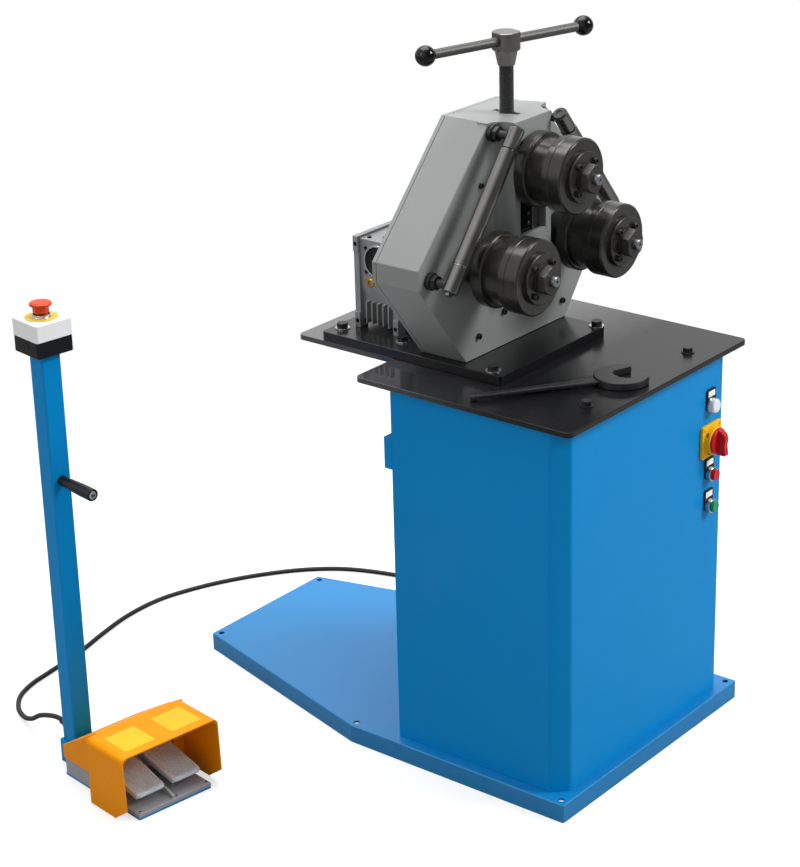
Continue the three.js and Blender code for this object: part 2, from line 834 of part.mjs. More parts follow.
// One gear outline in X and Z, with the middle of a tooth at the given angle
function gearOutline(teeth, firstTooth) {
  const pitch = gearModule * teeth / 2;
  const base = pitch * Math.cos(pressureAngle);
  const root = pitch - dedendumShare * gearModule;
  const tip = pitch + addendumShare * gearModule;
  const halfTooth = Math.PI / 2 / teeth - gearBacklash / 2 / pitch;
  const flank = (radius) => {
    const pressure = Math.acos(Math.min(1, base / radius));
    return halfTooth + involute(pressureAngle) - involute(pressure);
  };
  const radii = teeth < idlerTeeth ? [root, pitch, tip] : [root, tip];
  const rising = radii.map((radius) => [radius, -flank(Math.max(radius, base))]);
  const falling = radii.map((radius) => [radius, flank(Math.max(radius, base))]).reverse();
  return Array.from({ length: teeth }, (_, i) => firstTooth + fullTurn * i / teeth).flatMap((middle) =>
    [...rising, ...falling].map(([radius, half]) =>
      point(radius * Math.cos(middle + half), radius * Math.sin(middle + half))));
}

// The angle of the second gear's tooth that meshes with the first gear's teeth
function meshedTooth(firstAt, firstTeeth, firstTooth, secondAt, secondTeeth) {
  const towards = Math.atan2(secondAt.y - firstAt.y, secondAt.x - firstAt.x);
  const share = (towards - firstTooth) / (fullTurn / firstTeeth);
  return towards + Math.PI - fullTurn / secondTeeth * (1 / 2 - share);
}

const idlerAt = point(0, idlerLevel);
const pinionAt = point(pinionOffset, pinionLevel);
const idlerTooth = Math.PI / 2;

const gearDisc = (teeth, firstTooth, hole) => frontPrism(
  gearOutline(teeth, firstTooth), gearFront, gearRear, hole ? [circlePoints(hole / 2, midSteps)] : []);

function gearTrain() {
  piece('idler_gear', gearDisc(idlerTeeth, idlerTooth, 2 * bored(idlerPin / 2 + runGap)), gearSteel)
    .position.set(0, 0, idlerLevel);
  const tooth = meshedTooth(idlerAt, idlerTeeth, idlerTooth, pinionAt, pinionTeeth);
  const shaft = turned(rod(outputShaftDiameter / 2, gearRear, gearboxFront + outputFlangeThick));
  piece('drive_pinion', join(gearDisc(pinionTeeth, tooth), shaft), gearSteel)
    .position.set(pinionOffset, 0, pinionLevel);
}

// Shafts and roller stacks; the stack is drawn about the shaft's own axis

const nutFront = rollerFace - flangeThick - nutWasher - shaftNutThick;
const shaftTip = nutFront - shaftTipReach;

function shaftProfile(rear) {
  const tip = shaftTipDiameter / 2;
  return [
    [0, shaftTip + shaftCentreHole / 2], [shaftCentreHole / 2, shaftTip],
    [tip - shaftTipChamfer, shaftTip], [tip, shaftTip + shaftTipChamfer],
    [tip, nutFront], [rollerBore / 2, nutFront + shaftTipReach / 2],
    [rollerBore / 2, rollerRear], [shaftJournal / 2, rollerRear],
    ...rear,
  ];
}

function lowerShaft(side, x) {
  const at = point(x, lowerRollerLevel);
  const tooth = meshedTooth(idlerAt, idlerTeeth, idlerTooth, at, gearTeeth);
  const shaft = turned(shaftProfile([
    [shaftJournal / 2, gearFront], [gearHub / 2, gearFront],
    [gearHub / 2, gearRear + gearHubReach], [shaftRearJournal / 2, gearRear + gearHubReach],
    [shaftRearJournal / 2, headRear - headCoverThick / 2], [0, headRear - headCoverThick / 2],
  ]));
  return join(shaft, gearDisc(gearTeeth, tooth));
}

const slideRear = cavityFront + slideDepth;

const topShaft = () => turned(shaftProfile([[shaftJournal / 2, slideRear], [0, slideRear]]));

function frontRoller() {
  const rear = rollerFace + rollerWidth;
  const radius = rollerDiameter / 2;
  const bore = rollerBore / 2 + seatGap;
  const flange = rollerFace - flangeThick;
  const rim = flangeDiameter / 2;
  const turnedRing = turned([
    [bore, flange], [rim - rollerEdge / 2, flange], [rim, flange + rollerEdge / 2], [rim, rollerFace],
    [radius - rollerEdge, rollerFace], [radius, rollerFace + rollerEdge],
    [radius, rear], [bore, rear], [bore, flange],
  ], fineSteps);
  const heads = Array.from({ length: flangeScrews }, (_, i) => {
    const angle = fullTurn * (i + 1 / 2) / flangeScrews;
    const x = flangeScrewCircle / 2 * Math.cos(angle);
    const z = flangeScrewCircle / 2 * Math.sin(angle);
    return frontPrism(
      circlePoints(flangeScrewHead / 2, headSteps, x, z), flange - flangeScrewReach, flange + rollerEdge);
  });
  return join(turnedRing, ...heads);
}

function rearRoller() {
  const front = rollerFace + rollerWidth;
  const step = front + spacerWidth;
  const radius = rollerDiameter / 2;
  const bore = rollerBore / 2 + seatGap;
  return turned([
    [bore, front], [spacerDiameter / 2, front], [spacerDiameter / 2, step], [radius - rollerEdge, step],
    [radius, step + rollerEdge], [radius, rollerRear - seatGap], [bore, rollerRear - seatGap], [bore, front],
  ], fineSteps);
}

function shaftNut() {
  const back = rollerFace - flangeThick;
  const front = back - nutWasher - shaftNutThick;
  const hex = frontPrism(hexagon(shaftNutFlats), front, back - nutWasher);
  const washer = turned(rod(shaftNutFlats / Math.sqrt(3), back - nutWasher, back));
  const tip = shaftTipDiameter / 2 + seatGap;
  const bore = rollerBore / 2 + seatGap;
  return cut(join(hex, washer), turned([
    [0, front - overrun], [tip, front - overrun], [tip, front],
    [bore, front + shaftTipReach / 2], [bore, back + overrun], [0, back + overrun],
  ]));
}

function rollerStack(side, x, level, shaft) {
  const stack = group(x, 0, level);
  piece(`${side}_shaft`, shaft, darkSteel, stack);
  piece(`${side}_rear_roller`, rearRoller(), rollerSteel, stack);
  piece(`${side}_front_roller`, frontRoller(), rollerSteel, stack);
  piece(`${side}_shaft_nut`, shaftNut(), darkSteel, stack);
}

// Slide block, screw, nut and handle

function slideBlock() {
  const low = headBase + slideBottom;
  const high = headBase + slideTop;
  const front = cavityFront + slideFrontGap;
  const plan = [
    point(-slideHalf + slideChamfer, front), point(slideHalf - slideChamfer, front),
    point(slideHalf, front + slideChamfer), point(slideHalf, slideRear),
    point(-slideHalf, slideRear), point(-slideHalf, front + slideChamfer),
  ];
  const block = uprightPrism(plan, low, high);
  const bore = turned(rod(bored(shaftJournal / 2 + runGap), cavityFront - overrun, slideRear + overrun))
    .translate(0, 0, topRollerLevel);
  const pocket = turnedUp([
    [0, high - collarDepth - runGap], [bored(screwCollar / 2 + runGap), high - collarDepth - runGap],
    [bored(screwCollar / 2 + runGap), high - collarDepth + collarThick + runGap],
    [bored(screwNeck / 2 + runGap), high - collarDepth + collarThick + runGap],
    [bored(screwNeck / 2 + runGap), high + overrun], [0, high + overrun],
  ]).translate(0, screwAxis, 0);
  piece('slide_block', cut(block, bore, pocket), darkSteel);
}

function screwNut() {
  const bottom = headBase + cavityTop;
  const top = headTop - overrun;
  const inner = bored(screwDiameter / 2 + runGap);
  const profile = ring(inner, screwNutDiameter / 2, bottom, top - seatGap);
  piece('screw_nut', turnedUp(profile).translate(0, screwAxis, 0), bronze);
}

function adjustingScrew() {
  const high = headBase + slideTop;
  const collarLow = high - collarDepth;
  const hubLow = hubTopLevel - hubHeight;
  const threadTop = hubLow - hubTaper;
  const radius = screwDiameter / 2;
  const profile = [
    [0, collarLow], [screwCollar / 2, collarLow], [screwCollar / 2, collarLow + collarThick],
    [screwNeck / 2, collarLow + collarThick], [screwNeck / 2, high + runGap],
    [radius, high + threadRunShare * screwNeck],
    [radius, threadTop], [hubTaperDiameter / 2, threadTop], [hubDiameter / 2, hubLow],
    [hubDiameter / 2, hubTopLevel - rollerEdge], [hubDiameter / 2 - rollerEdge, hubTopLevel],
    [0, hubTopLevel],
  ];
  const barLevel = hubTopLevel - hubHeight / 2;
  const hole = turnedAcross(rod(barDiameter / 2 + seatGap, -hubDiameter, hubDiameter))
    .rotateZ(barTurn).translate(0, 0, barLevel);
  const holder = group(0, screwAxis, 0);
  piece('adjusting_screw', cut(turnedUp(profile, screwSteps), hole), darkSteel, holder);
  const half = barLength / 2;
  const radiusOfKnob = knobDiameter / 2;
  const ball = Array.from({ length: coarseSteps + 1 }, (_, i) => {
    const angle = Math.PI * (1 - i / coarseSteps);
    return [radiusOfKnob * Math.sin(angle), half + radiusOfKnob * Math.cos(angle)];
  }).filter(([, along]) => along > half - knobNeck / 2 - knobSeatShare * barDiameter);
  const upper = [...ball.slice(0, -1), [0, half + radiusOfKnob]];
  const lower = [...upper].reverse().map(([across, along]) => [across, -along]);
  const rodEnds = [[barDiameter / 2, -half + radiusOfKnob], [barDiameter / 2, half - radiusOfKnob]];
  const bar = turnedAcross([...lower, ...rodEnds, ...upper], coarseSteps);
  piece('handle_bar', bar.rotateZ(barTurn).translate(0, 0, barLevel), darkSteel, holder);
}

// Side guides

function sideGuide(side, sign) {
  const dx = guideLowHalf - guideTopHalf;
  const dz = guideTopLevel - guideLowLevel;
  const span = Math.hypot(dx, dz);
  const lean = -sign * Math.atan2(dx, dz);
  const along = headFront - guideStandOff;
  const holder = group(0, 0, 0);
  const slope = (geometry) => geometry.rotateX(Math.PI / 2).rotateY(lean)
    .translate(sign * guideTopHalf, along, guideTopLevel);
  const post = (x, z) => {
    const bolt = frontPrism(
      circlePoints(guidePostDiameter / 2, coarseSteps, x, z), along, headFront - guideBossLength / 2);
    const boss = frontPrism(circlePoints(guideBossDiameter / 2, midSteps, x, z),
      headFront - guideBossLength + guideNutLength / 2, headFront);
    const nut = frontPrism(hexagon(guideNutFlats, x, z),
      headFront - guideBossLength - guideNutLength / 2, headFront - guideBossLength / 2);
    return [bolt, boss, nut];
  };
  const rodEnd = -span + lowBlockInside / 2;
  const topBlock = slope(turned(rod(guideBlockDiameter / 2, -topBlockInside, topBlockBeyond)));
  const rodPiece = slope(turned(rod(guideRodDiameter / 2, rodEnd, -topBlockInside / 2)));
  const lowHole = slope(turned(rod(guideRodDiameter / 2 + seatGap, rodEnd - seatGap, -span / 2)));
  const lowBlock = slope(turned(rod(guideBlockDiameter / 2, -span - lowBlockBeyond, -span + lowBlockInside)));
  const endBolt = slope(turned(rod(endBoltDiameter / 2, -span - lowBlockBeyond - endBoltLength, -span)));
  const tube = slope(turned(ring(bored(guideRodDiameter / 2 + runGap), guideTubeDiameter / 2,
    -span + lowBlockInside + seatGap, -topBlockInside - seatGap)));
  const lowX = sign * guideLowHalf;
  const upper = join(...post(sign * guideTopHalf, guideTopLevel), topBlock, rodPiece);
  const lower = cut(join(...post(lowX, guideLowLevel), lowBlock, endBolt), lowHole);
  piece(`${side}_upper_post`, upper, darkSteel, holder);
  piece(`${side}_lower_post`, lower, darkSteel, holder);
  piece(`${side}_guide_sleeve`, tube, darkSteel, holder);
}

// Worm gearbox with its output flange, and the motor

function gearbox() {
  const bottom = headBase;
  const top = bottom + gearboxHeight;
  const wall = gearboxFlangeThick;
  const middle = pinionOffset;
  const reach = gearboxFlangeHalf;
  const inner = reach - gearboxLugReach;
  const foot = reach - gearboxFootWidth;
  const notchTop = bottom + gearboxNotchHeight;
  const lowLug = bottom + gearboxLugHeight;
  const highLug = top - gearboxLugHeight;
  const rightRim = [
    [foot, notchTop], [foot, bottom], [reach, bottom], [reach, lowLug], [inner, lowLug],
    [inner, highLug], [reach, highLug], [reach, top],
  ];
  const mirrored = (side) => [
    ...side.map(([x, z]) => point(middle + x, z)), ...side.map(([x, z]) => point(middle - x, z)).reverse(),
  ];
  const faces = [[gearboxFront, gearboxFront + wall], [gearboxRear - wall, gearboxRear]]
    .map(([near, far]) => frontPrism(mirrored(rightRim), near, far));
  const coreSide = inner - gearboxCoreInset;
  const shoulder = bottom + gearboxShoulder;
  const core = frontPrism(mirrored([
    [gearboxCoreHalf, notchTop], [gearboxCoreHalf, bottom + gearboxWaist], [coreSide, shoulder],
    [coreSide, top - gearboxCoreInset],
  ]), gearboxFront + wall / 2, gearboxRear - wall / 2);
  const worm = turnedAcross([
    [0, middle], [wormTubeDiameter / 2, middle], [wormTubeDiameter / 2, gearboxRight - motorFlangeThick],
    [motorFlangeDiameter / 2, gearboxRight - motorFlangeThick], [motorFlangeDiameter / 2, gearboxRight],
    [0, gearboxRight],
  ]).translate(0, gearboxMiddle, wormLevel);
  const face = middle - coreSide;
  const recess = turnedAcross(rod(bored(wormCapDiameter / 2), face - overrun, face + wormCapDepth))
    .translate(0, gearboxMiddle, wormLevel);
  const pitch = (gearboxRear - gearboxFront - 2 * wall) / (coolingFins + 1);
  const fins = Array.from({ length: coolingFins }, (_, i) => {
    const y = gearboxFront + wall + pitch * (i + 1);
    return frontPrism(rectangle(middle - gearboxCoreHalf - finReach, bottom + finLift,
      middle + gearboxCoreHalf + finReach, bottom + finLift + finHeight), y - finThick / 2, y + finThick / 2);
  });
  const flangeBack = headRear + outputFlangeThick;
  const output = turned([
    [0, headRear], [outputFlangeDiameter / 2, headRear], [outputFlangeDiameter / 2, flangeBack],
    [outputTubeDiameter / 2, flangeBack], [outputTubeDiameter / 2, gearboxFront + wall],
    [0, gearboxFront + wall],
  ]).translate(middle, 0, pinionLevel);
  const shaftHole = turned(rod(bored(outputShaftDiameter / 2 + runGap), headRear - overrun,
    gearboxFront + outputFlangeThick + runGap)).translate(middle, 0, pinionLevel);
  const housing = join(...faces, core, worm, ...fins, output);
  piece('gearbox_housing', cut(housing, shaftHole, recess), castAluminium);
}

function motor() {
  const start = gearboxRight;
  const end = start + motorFlangeThick + motorLength;
  const radius = motorDiameter / 2 - motorFinReach;
  const finAngle = motorFinThick / motorDiameter;
  const finTip = motorDiameter / 2;
  const rim = Array.from({ length: motorFins }, (_, i) => fullTurn * i / motorFins).flatMap((angle) => [
    [radius, -finRootShare * finAngle], [finTip, -finAngle],
    [finTip, finAngle], [radius, finRootShare * finAngle],
  ].map(([reach, turn]) => point(
    gearboxMiddle + reach * Math.cos(angle + turn), wormLevel + reach * Math.sin(angle + turn))));
  const barrel = sidePrism(rim, start + motorFlangeThick / 2, end);
  const flange = turnedAcross(rod(motorFlangeDiameter / 2, start, start + motorFlangeThick))
    .translate(0, gearboxMiddle, wormLevel);
  const cover = turnedAcross([
    [0, end], [fanCoverDiameter / 2, end], [fanCoverDiameter / 2, end + fanCoverStraight],
    [fanGrillDiameter / 2, end + fanCoverLength], [0, end + fanCoverLength],
  ], midSteps).translate(0, gearboxMiddle, wormLevel);
  const slots = Array.from({ length: fanSlots }, (_, i) => sidePrism(
    rectangle(fanSlotWidth * 2, -fanSlotWidth / 2, fanGrillDiameter / 2 - fanSlotWidth, fanSlotWidth / 2),
    end + fanCoverLength - fanSlotWidth, end + fanCoverLength + overrun)
    .rotateX(fullTurn * i / fanSlots).translate(0, gearboxMiddle, wormLevel));
  piece('motor_fan_cover', cut(cover, ...slots), motorPaint);
  const boxStart = start + motorFlangeThick + (motorLength - terminalBoxWidth) / 2;
  const boxLow = wormLevel + motorDiameter / 2 - motorFinReach - terminalBoxSink;
  const terminalBox = uprightPrism(
    roundedBox(boxStart, gearboxMiddle - terminalBoxDepth / 2, boxStart + terminalBoxWidth,
      gearboxMiddle + terminalBoxDepth / 2, plateCorner), boxLow, boxLow + terminalBoxHeight);
  piece('motor_body', join(barrel, flange, terminalBox), motorPaint);
}

// Controls on the cabinet front; each is drawn about its own axis, towards -Y

const panelFace = -cabinetDepth / 2;

function legendPlate() {
  return frontPrism(rectangle(-legendWidth / 2, -legendBelow, legendWidth / 2, legendHeight - legendBelow),
    panelFace - legendThick, panelFace);
}

function frontUnit(reach) {
  const face = panelFace - legendThick;
  const collar = turned(rod(bezelDiameter / 2, face - reach, face));
  const inside = panelFace + cabinetSheet;
  const barrel = turned(rod(panelHole / 2 - seatGap, panelFace - legendThick / 2, inside), smallSteps);
  const back = turned(rod(buttonBodyDiameter / 2, inside, inside + buttonBodyLength), smallSteps);
  return join(legendPlate(), collar, barrel, back);
}

function buttonWell() {
  const face = panelFace - legendThick - bezelReach;
  const head = bored(buttonDiameter / 2 + runGap);
  const stem = bored(buttonStem / 2 + runGap);
  const floor = face + buttonTravel + 2 * runGap;
  const end = face + buttonStemLength + buttonTravel;
  return turned([
    [0, face - overrun], [head, face - overrun], [head, floor], [stem, floor], [stem, end], [0, end],
  ]);
}

function pushButton() {
  const face = panelFace - legendThick;
  const flush = face - bezelReach;
  return turned([
    [0, face - buttonReach], [buttonDiameter / 2 - buttonEdge, face - buttonReach],
    [buttonDiameter / 2, face - buttonReach + buttonEdge], [buttonDiameter / 2, flush + runGap],
    [buttonStem / 2, flush + runGap], [buttonStem / 2, flush + buttonStemLength],
    [0, flush + buttonStemLength],
  ]);
}

function controls() {
  const lamp = group(controlColumn, 0, lampLevel);
  const lensFace = panelFace - legendThick;
  const lens = turned([
    [0, lensFace - lampReach], [lampDiameter / 2 - lampEdge, lensFace - lampReach],
    [lampDiameter / 2, lensFace - lampReach + lampEdge], [lampDiameter / 2, lensFace], [0, lensFace],
  ]);
  piece('indicator_lamp', join(frontUnit(bezelReach), lens), clearPlastic, lamp);
  const pairs = [['red', redLevel, redPlastic], ['green', greenLevel, greenPlastic]];
  pairs.forEach(([name, level, colour]) => {
    const unit = group(controlColumn, 0, level);
    piece(`${name}_button_body`, cut(frontUnit(bezelReach), buttonWell()), blackPlastic, unit);
    piece(`${name}_button`, pushButton(), colour, unit);
  });
  mainSwitch(group(controlColumn, 0, switchLevel));
}

function mainSwitch(holder) {
  const half = switchPlateSize / 2;
  const face = panelFace - switchPlateThick;
  const collarFace = face - switchCollarReach;
  const plate = frontPrism(roundedBox(-half, -half, half, half, boxCorner), face, panelFace);
  const collar = turned(rod(switchCollar / 2, collarFace, face));
  const back = turned(
    rod(panelHole / 2 - seatGap, face, panelFace + cabinetSheet + buttonBodyLength), smallSteps);
  const bore = turned(
    rod(bored(switchStem / 2 + runGap), collarFace - overrun, panelFace + buttonBodyLength / 2));
  piece('switch_plate', cut(join(plate, collar, back), bore), yellowPlastic, holder);
  const discBack = collarFace - runGap;
  const discFront = discBack - switchKnobDisc;
  const disc = turned(rod(switchKnobDiameter / 2, discFront, discBack));
  const reach = switchKnobDiameter / 2 * switchGripLengthShare;
  const grip = frontPrism(roundedBox(-switchGripWidth / 2, -reach, switchGripWidth / 2, reach, boxCorner),
    discFront - switchGripReach, discFront + switchKnobDisc / 2);
  const stem = turned(rod(switchStem / 2, discBack, panelFace + buttonBodyLength / 2 - runGap));
  piece('switch_knob', join(disc, grip, stem), redPlastic, holder);
}

// Pedestal: foot plate with socket, post, stop box, grip and double foot switch

function pedestal() {
  const holder = group(pedestalX, pedestalY, 0, pedestalTurn);
  footPlate(holder);
  post(holder);
  stopStation(holder);
  grip(holder);
  footSwitch(holder);
}

const socketHalf = postSize / 2 + seatGap + socketWall;

function footPlate(holder) {
  const rear = socketHalf;
  const plate = uprightPrism([
    point(switchLeft, -switchFront), point(switchRight, -switchFront), point(switchRight, -socketHalf),
    point(socketHalf, -socketHalf), point(socketHalf, rear), point(-socketHalf, rear),
    point(-socketHalf, -socketHalf), point(switchLeft, -socketHalf),
  ], 0, footPlateThick);
  const socketRim = rectangle(-socketHalf, -socketHalf, socketHalf, socketHalf);
  const socket = uprightPrism(socketRim, 0, socketHeight, [inset(socketRim, socketWall)]);
  piece('foot_plate', join(plate, socket), bluePaint, holder);
}

function post(holder) {
  const half = postSize / 2;
  const rim = roundedBox(-half, -half, half, half, postCorner);
  const tube = uprightPrism(rim, footPlateThick + seatGap, postHeight, [inset(rim, postWall)]);
  const gland = frontPrism(smallHole(glandDiameter, 0, postGlandLevel), 0, half + overrun);
  const gripHole = frontPrism(smallHole(gripScrewDiameter, 0, gripLevel), -half - overrun, 0);
  piece('post', cut(tube, gland, gripHole), bluePaint, holder);
}

function stopStation(holder) {
  const half = boxSize / 2;
  const rim = roundedBox(-half, -half, half, half, boxCorner);
  const seam = postHeight + boxBaseHeight;
  const top = seam + boxLidHeight;
  const inner = inset(rim, boxWall);
  const tub = cut(
    uprightPrism(rim, postHeight, seam), uprightPrism(inner, postHeight + boxWall, seam + overrun));
  piece('stop_box_base', tub, blackPlastic, holder);
  const lid = cut(uprightPrism(rim, seam, top), uprightPrism(inner, seam - overrun, top - boxWall));
  const disc = turnedUp(rod(stopRingDiameter / 2, top - boxWall / 2, top + stopRingThick));
  const neck = turnedUp(rod(stopNeckDiameter / 2, top, top + stopCapLift - stopTravel - runGap));
  const guideTube = turnedUp(rod(panelHole / 2, seam, top));
  const well = turnedUp(
    rod(bored(stopStem / 2 - rollerEdge + runGap), seam + boxWall, top + stopCapLift + overrun));
  piece('stop_box_lid', cut(join(lid, disc, neck, guideTube), well), whitePlastic, holder);
  const cap = top + stopCapLift;
  const radius = stopCapDiameter / 2;
  const stem = stopStem / 2 - rollerEdge;
  const stemEnd = seam + boxWall + stopTravel + runGap;
  const mushroom = turnedUp([
    [0, stemEnd], [stem, stemEnd], [stem, cap],
    [stopNeckDiameter / 2, cap], [stopNeckDiameter / 2, cap + skirtLowShare * stopCapHeight],
    [radius, cap + skirtHighShare * stopCapHeight], [radius, cap + rimHighShare * stopCapHeight],
    [domeShare * radius, cap + stopCapHeight], [0, cap + stopCapHeight],
  ]);
  piece('stop_button', mushroom, redPlastic, holder);
}

function grip(holder) {
  const face = -postSize / 2;
  const end = face - gripLength;
  const profile = [
    [gripScrewDiameter / 2 + runGap, end + gripScrewHead / 2], [gripScrewHead / 2, end + gripScrewHead / 2],
    [gripScrewHead / 2 + runGap, end], [gripDiameter / 2 - gripCollar / 2, end],
    [gripDiameter / 2, end + gripCollar / 2], [gripDiameter / 2, end + gripStraight],
    [gripRootDiameter / 2, face - runGap - gripCollar],
    [gripRootDiameter / 2, face - runGap], [gripScrewDiameter / 2 + runGap, face - runGap],
    [gripScrewDiameter / 2 + runGap, end + gripScrewHead / 2],
  ];
  piece('post_grip', turned(profile).translate(0, 0, gripLevel), blackPlastic, holder);
  const head = gripScrewHead / 2 - runGap;
  const thread = gripScrewDiameter / 2 - runGap;
  const headBack = end + gripScrewHead / 2 - runGap;
  const screw = turned([
    [0, end + runGap], [head, end + runGap], [head, headBack], [thread, headBack], [thread, face + postWall],
    [gripScrewHead / 2, face + postWall + runGap], [gripScrewHead / 2, face + 3 * postWall],
    [0, face + 3 * postWall],
  ]);
  piece('grip_screw', screw.translate(0, 0, gripLevel), brightSteel, holder);
}

const switchMiddle = (switchLeft + switchRight) / 2;
const axleY = -treadleRear + axleLug / 2;
const axleLevel = treadleRearLevel - treadleThick - axleDiameter / 2;

function footSwitch(holder) {
  const low = footPlateThick;
  const deck = uprightPrism(
    rectangle(switchLeft, -switchFront, switchRight, -switchRear), low, low + switchDeckThick);
  const housing = uprightPrism(rectangle(switchLeft, -switchRear - switchRearDepth, switchRight, -switchRear),
    low, switchBaseHeight);
  const divider = sidePrism([
    point(-switchRear - switchRearDepth, low), point(-switchFront + dividerThick, low),
    point(-switchFront + dividerThick, low + switchDeckThick + dividerThick),
    point(-switchRear - switchRearDepth - dividerThick, switchBaseHeight + dividerHeight / 2),
    point(-switchRear - switchRearDepth, switchBaseHeight + dividerHeight / 2),
  ], switchMiddle - dividerThick / 2, switchMiddle + dividerThick / 2);
  const ears = [switchLeft, switchMiddle - dividerThick / 2, switchRight - dividerThick].map((x) => sidePrism([
    point(axleY - axleLug / 2, low), point(axleY + axleLug, low), point(axleY + axleLug, axleLevel),
    point(axleY + axleLug / 2, axleLevel + axleLug / 2), point(axleY - axleLug / 2, axleLevel + axleLug / 2),
  ], x, x + dividerThick));
  const axle = turnedAcross(rod(axleDiameter / 2, switchLeft, switchRight)).translate(0, axleY, axleLevel);
  piece('foot_switch_base', join(deck, housing, divider, ...ears, axle), pedalGrey, holder);
  treadle('left', (switchLeft + switchMiddle) / 2, holder);
  treadle('right', (switchRight + switchMiddle) / 2, holder);
  pedalGuard(holder);
}

function treadle(side, middle, holder) {
  const left = middle - treadleWidth / 2;
  const right = middle + treadleWidth / 2;
  const under = treadleRearLevel - treadleThick;
  const profile = [
    point(-treadleFront, treadleFrontLevel - treadleThick), point(-treadleRear, under),
    point(-treadleRear + axleLug, under), point(-treadleRear + axleLug, treadleRearLevel),
    point(-treadleRear, treadleRearLevel), point(-treadleFront, treadleFrontLevel),
  ];
  const slab = sidePrism(profile, left, right);
  const skirtFoot = axleLevel - axleDiameter;
  const skirtTop = treadleThick / 2;
  const skirtProfile = [
    point(-treadleFront + treadleSkirt, treadleFrontLevel - treadleThick - treadleSkirt / 2),
    point(axleY - axleLug / 2, skirtFoot), point(-treadleRear + axleLug, skirtFoot),
    point(-treadleRear + axleLug, treadleRearLevel - skirtTop),
    point(-treadleRear, treadleRearLevel - skirtTop),
    point(-treadleFront + treadleSkirt, treadleFrontLevel - skirtTop),
  ];
  const skirts = [left + treadlePinch, right - treadlePinch - dividerThick]
    .map((x) => sidePrism(skirtProfile, x, x + dividerThick));
  const bore = turnedAcross(rod(bored(axleDiameter / 2 + runGap), left - overrun, right + overrun))
    .translate(0, axleY, axleLevel);
  const slope = (treadleRearLevel - treadleFrontLevel) / (treadleFront - treadleRear);
  const pitch = treadleWidth / treadleRibs;
  const ribs = Array.from({ length: treadleRibs }, (_, i) => {
    const x = left + pitch * (i + 1 / 2);
    const start = -treadleFront + treadlePinch;
    const stop = start + treadleSpan;
    const level = (y) => treadleFrontLevel + (y + treadleFront) * slope;
    return sidePrism([
      point(start, level(start) - treadleRibHeight), point(stop, level(stop) - treadleRibHeight),
      point(stop, level(stop) + treadleRibHeight), point(start, level(start) + treadleRibHeight),
    ], x - treadleRibWidth / 2, x + treadleRibWidth / 2);
  });
  piece(`${side}_treadle`, cut(join(slab, ...skirts, ...ribs), bore), pedalGrey, holder);
}

// Folded guard: a tall hood over the treadles and a sloping cover behind it
function pedalGuard(holder) {
  const rear = -switchRear;
  const hoodSide = [
    point(-guardTipRear, guardLift), point(-guardRear, guardLift), point(-guardRear, guardHeight),
    point(-guardFront, guardHeight), point(-guardTipFront, guardLift + guardCut),
  ];
  const arch = (half, lowest, top) => roundedBox(
    switchMiddle - half, lowest, switchMiddle + half, top, guardCorner, guardCornerSteps);
  const outer = frontPrism(arch(guardHalf, -guardCorner, guardHeight), -guardTipFront, -guardRear);
  const innerArch = arch(guardHalf - guardSheet, -2 * guardCorner, guardHeight - guardSheet);
  const inner = frontPrism(innerArch, -guardTipFront - overrun, -guardRear + overrun);
  const profile = sidePrism(hoodSide, switchMiddle - guardHalf - overrun, switchMiddle + guardHalf + overrun);
  const hood = geometryOf(body(cut(outer, inner)).intersect(body(profile)));
  const coverLeft = switchLeft - seatGap - guardSheet;
  const coverRight = switchRight + seatGap + guardSheet;
  const slopeTop = guardHeight;
  const coverProfile = (grow, front, foot) => [
    point(rear - grow, foot), point(rear - grow, coverLowLevel - grow),
    point(-guardRear + guardSheet, slopeTop - grow), point(front, slopeTop - grow), point(front, foot),
  ].reverse();
  const outside = coverProfile(0, -guardRear - guardSheet, coverSideLevel);
  const within = coverProfile(guardSheet, -guardRear - overrun, coverSideLevel - overrun);
  const coverOuter = sidePrism(outside, coverLeft, coverRight);
  const coverInner = sidePrism(within, coverLeft + guardSheet, coverRight - guardSheet);
  const wallHalf = guardHalf - guardSheet / 2;
  const [wallLeft, wallRight] = [switchMiddle - wallHalf, switchMiddle + wallHalf];
  const [gateLeft, gateRight] = [coverLeft + guardSheet / 2, coverRight - guardSheet / 2];
  const wallTop = guardHeight - guardSheet / 2;
  const backWall = frontPrism([
    point(wallLeft, guardLift), point(gateLeft, guardLift), point(gateLeft, coverLowLevel),
    point(gateRight, coverLowLevel), point(gateRight, guardLift), point(wallRight, guardLift),
    point(wallRight, wallTop), point(wallLeft, wallTop),
  ], -guardRear - guardSheet, -guardRear);
  piece('pedal_guard', join(hood, cut(coverOuter, coverInner), backWall), orangePaint, holder);
}

// Cable glands and the signal cord between the pedestal and the cabinet

const glandTaper = [
  [glandDiameter / 2 - gripCollar / 2, glandNutLength], [glandDiameter / 2 - gripCollar, glandLength],
  [cordDiameter / 2 + gripCollar / 2, glandLength + glandTail],
];

function glandSolid() {
  const neck = glandDiameter / 2 - seatGap;
  const turnedBody = turned([
    [0, -glandNutLength], [neck, -glandNutLength], [neck, 0], [glandNutFlats / 2, 0],
    [glandNutFlats / 2, glandNutLength / 2], ...glandTaper, [0, glandLength + glandTail],
  ], coarseSteps);
  const nut = frontPrism(hexagon(glandNutFlats), 0, glandNutLength);
  const socketRadius = bored(cordDiameter / 2 + seatGap, smallSteps);
  const socket = turned(rod(socketRadius, glandLength, glandLength + glandTail + overrun), smallSteps);
  return cut(join(turnedBody, nut), socket);
}

const postGlandFace = postSize / 2;

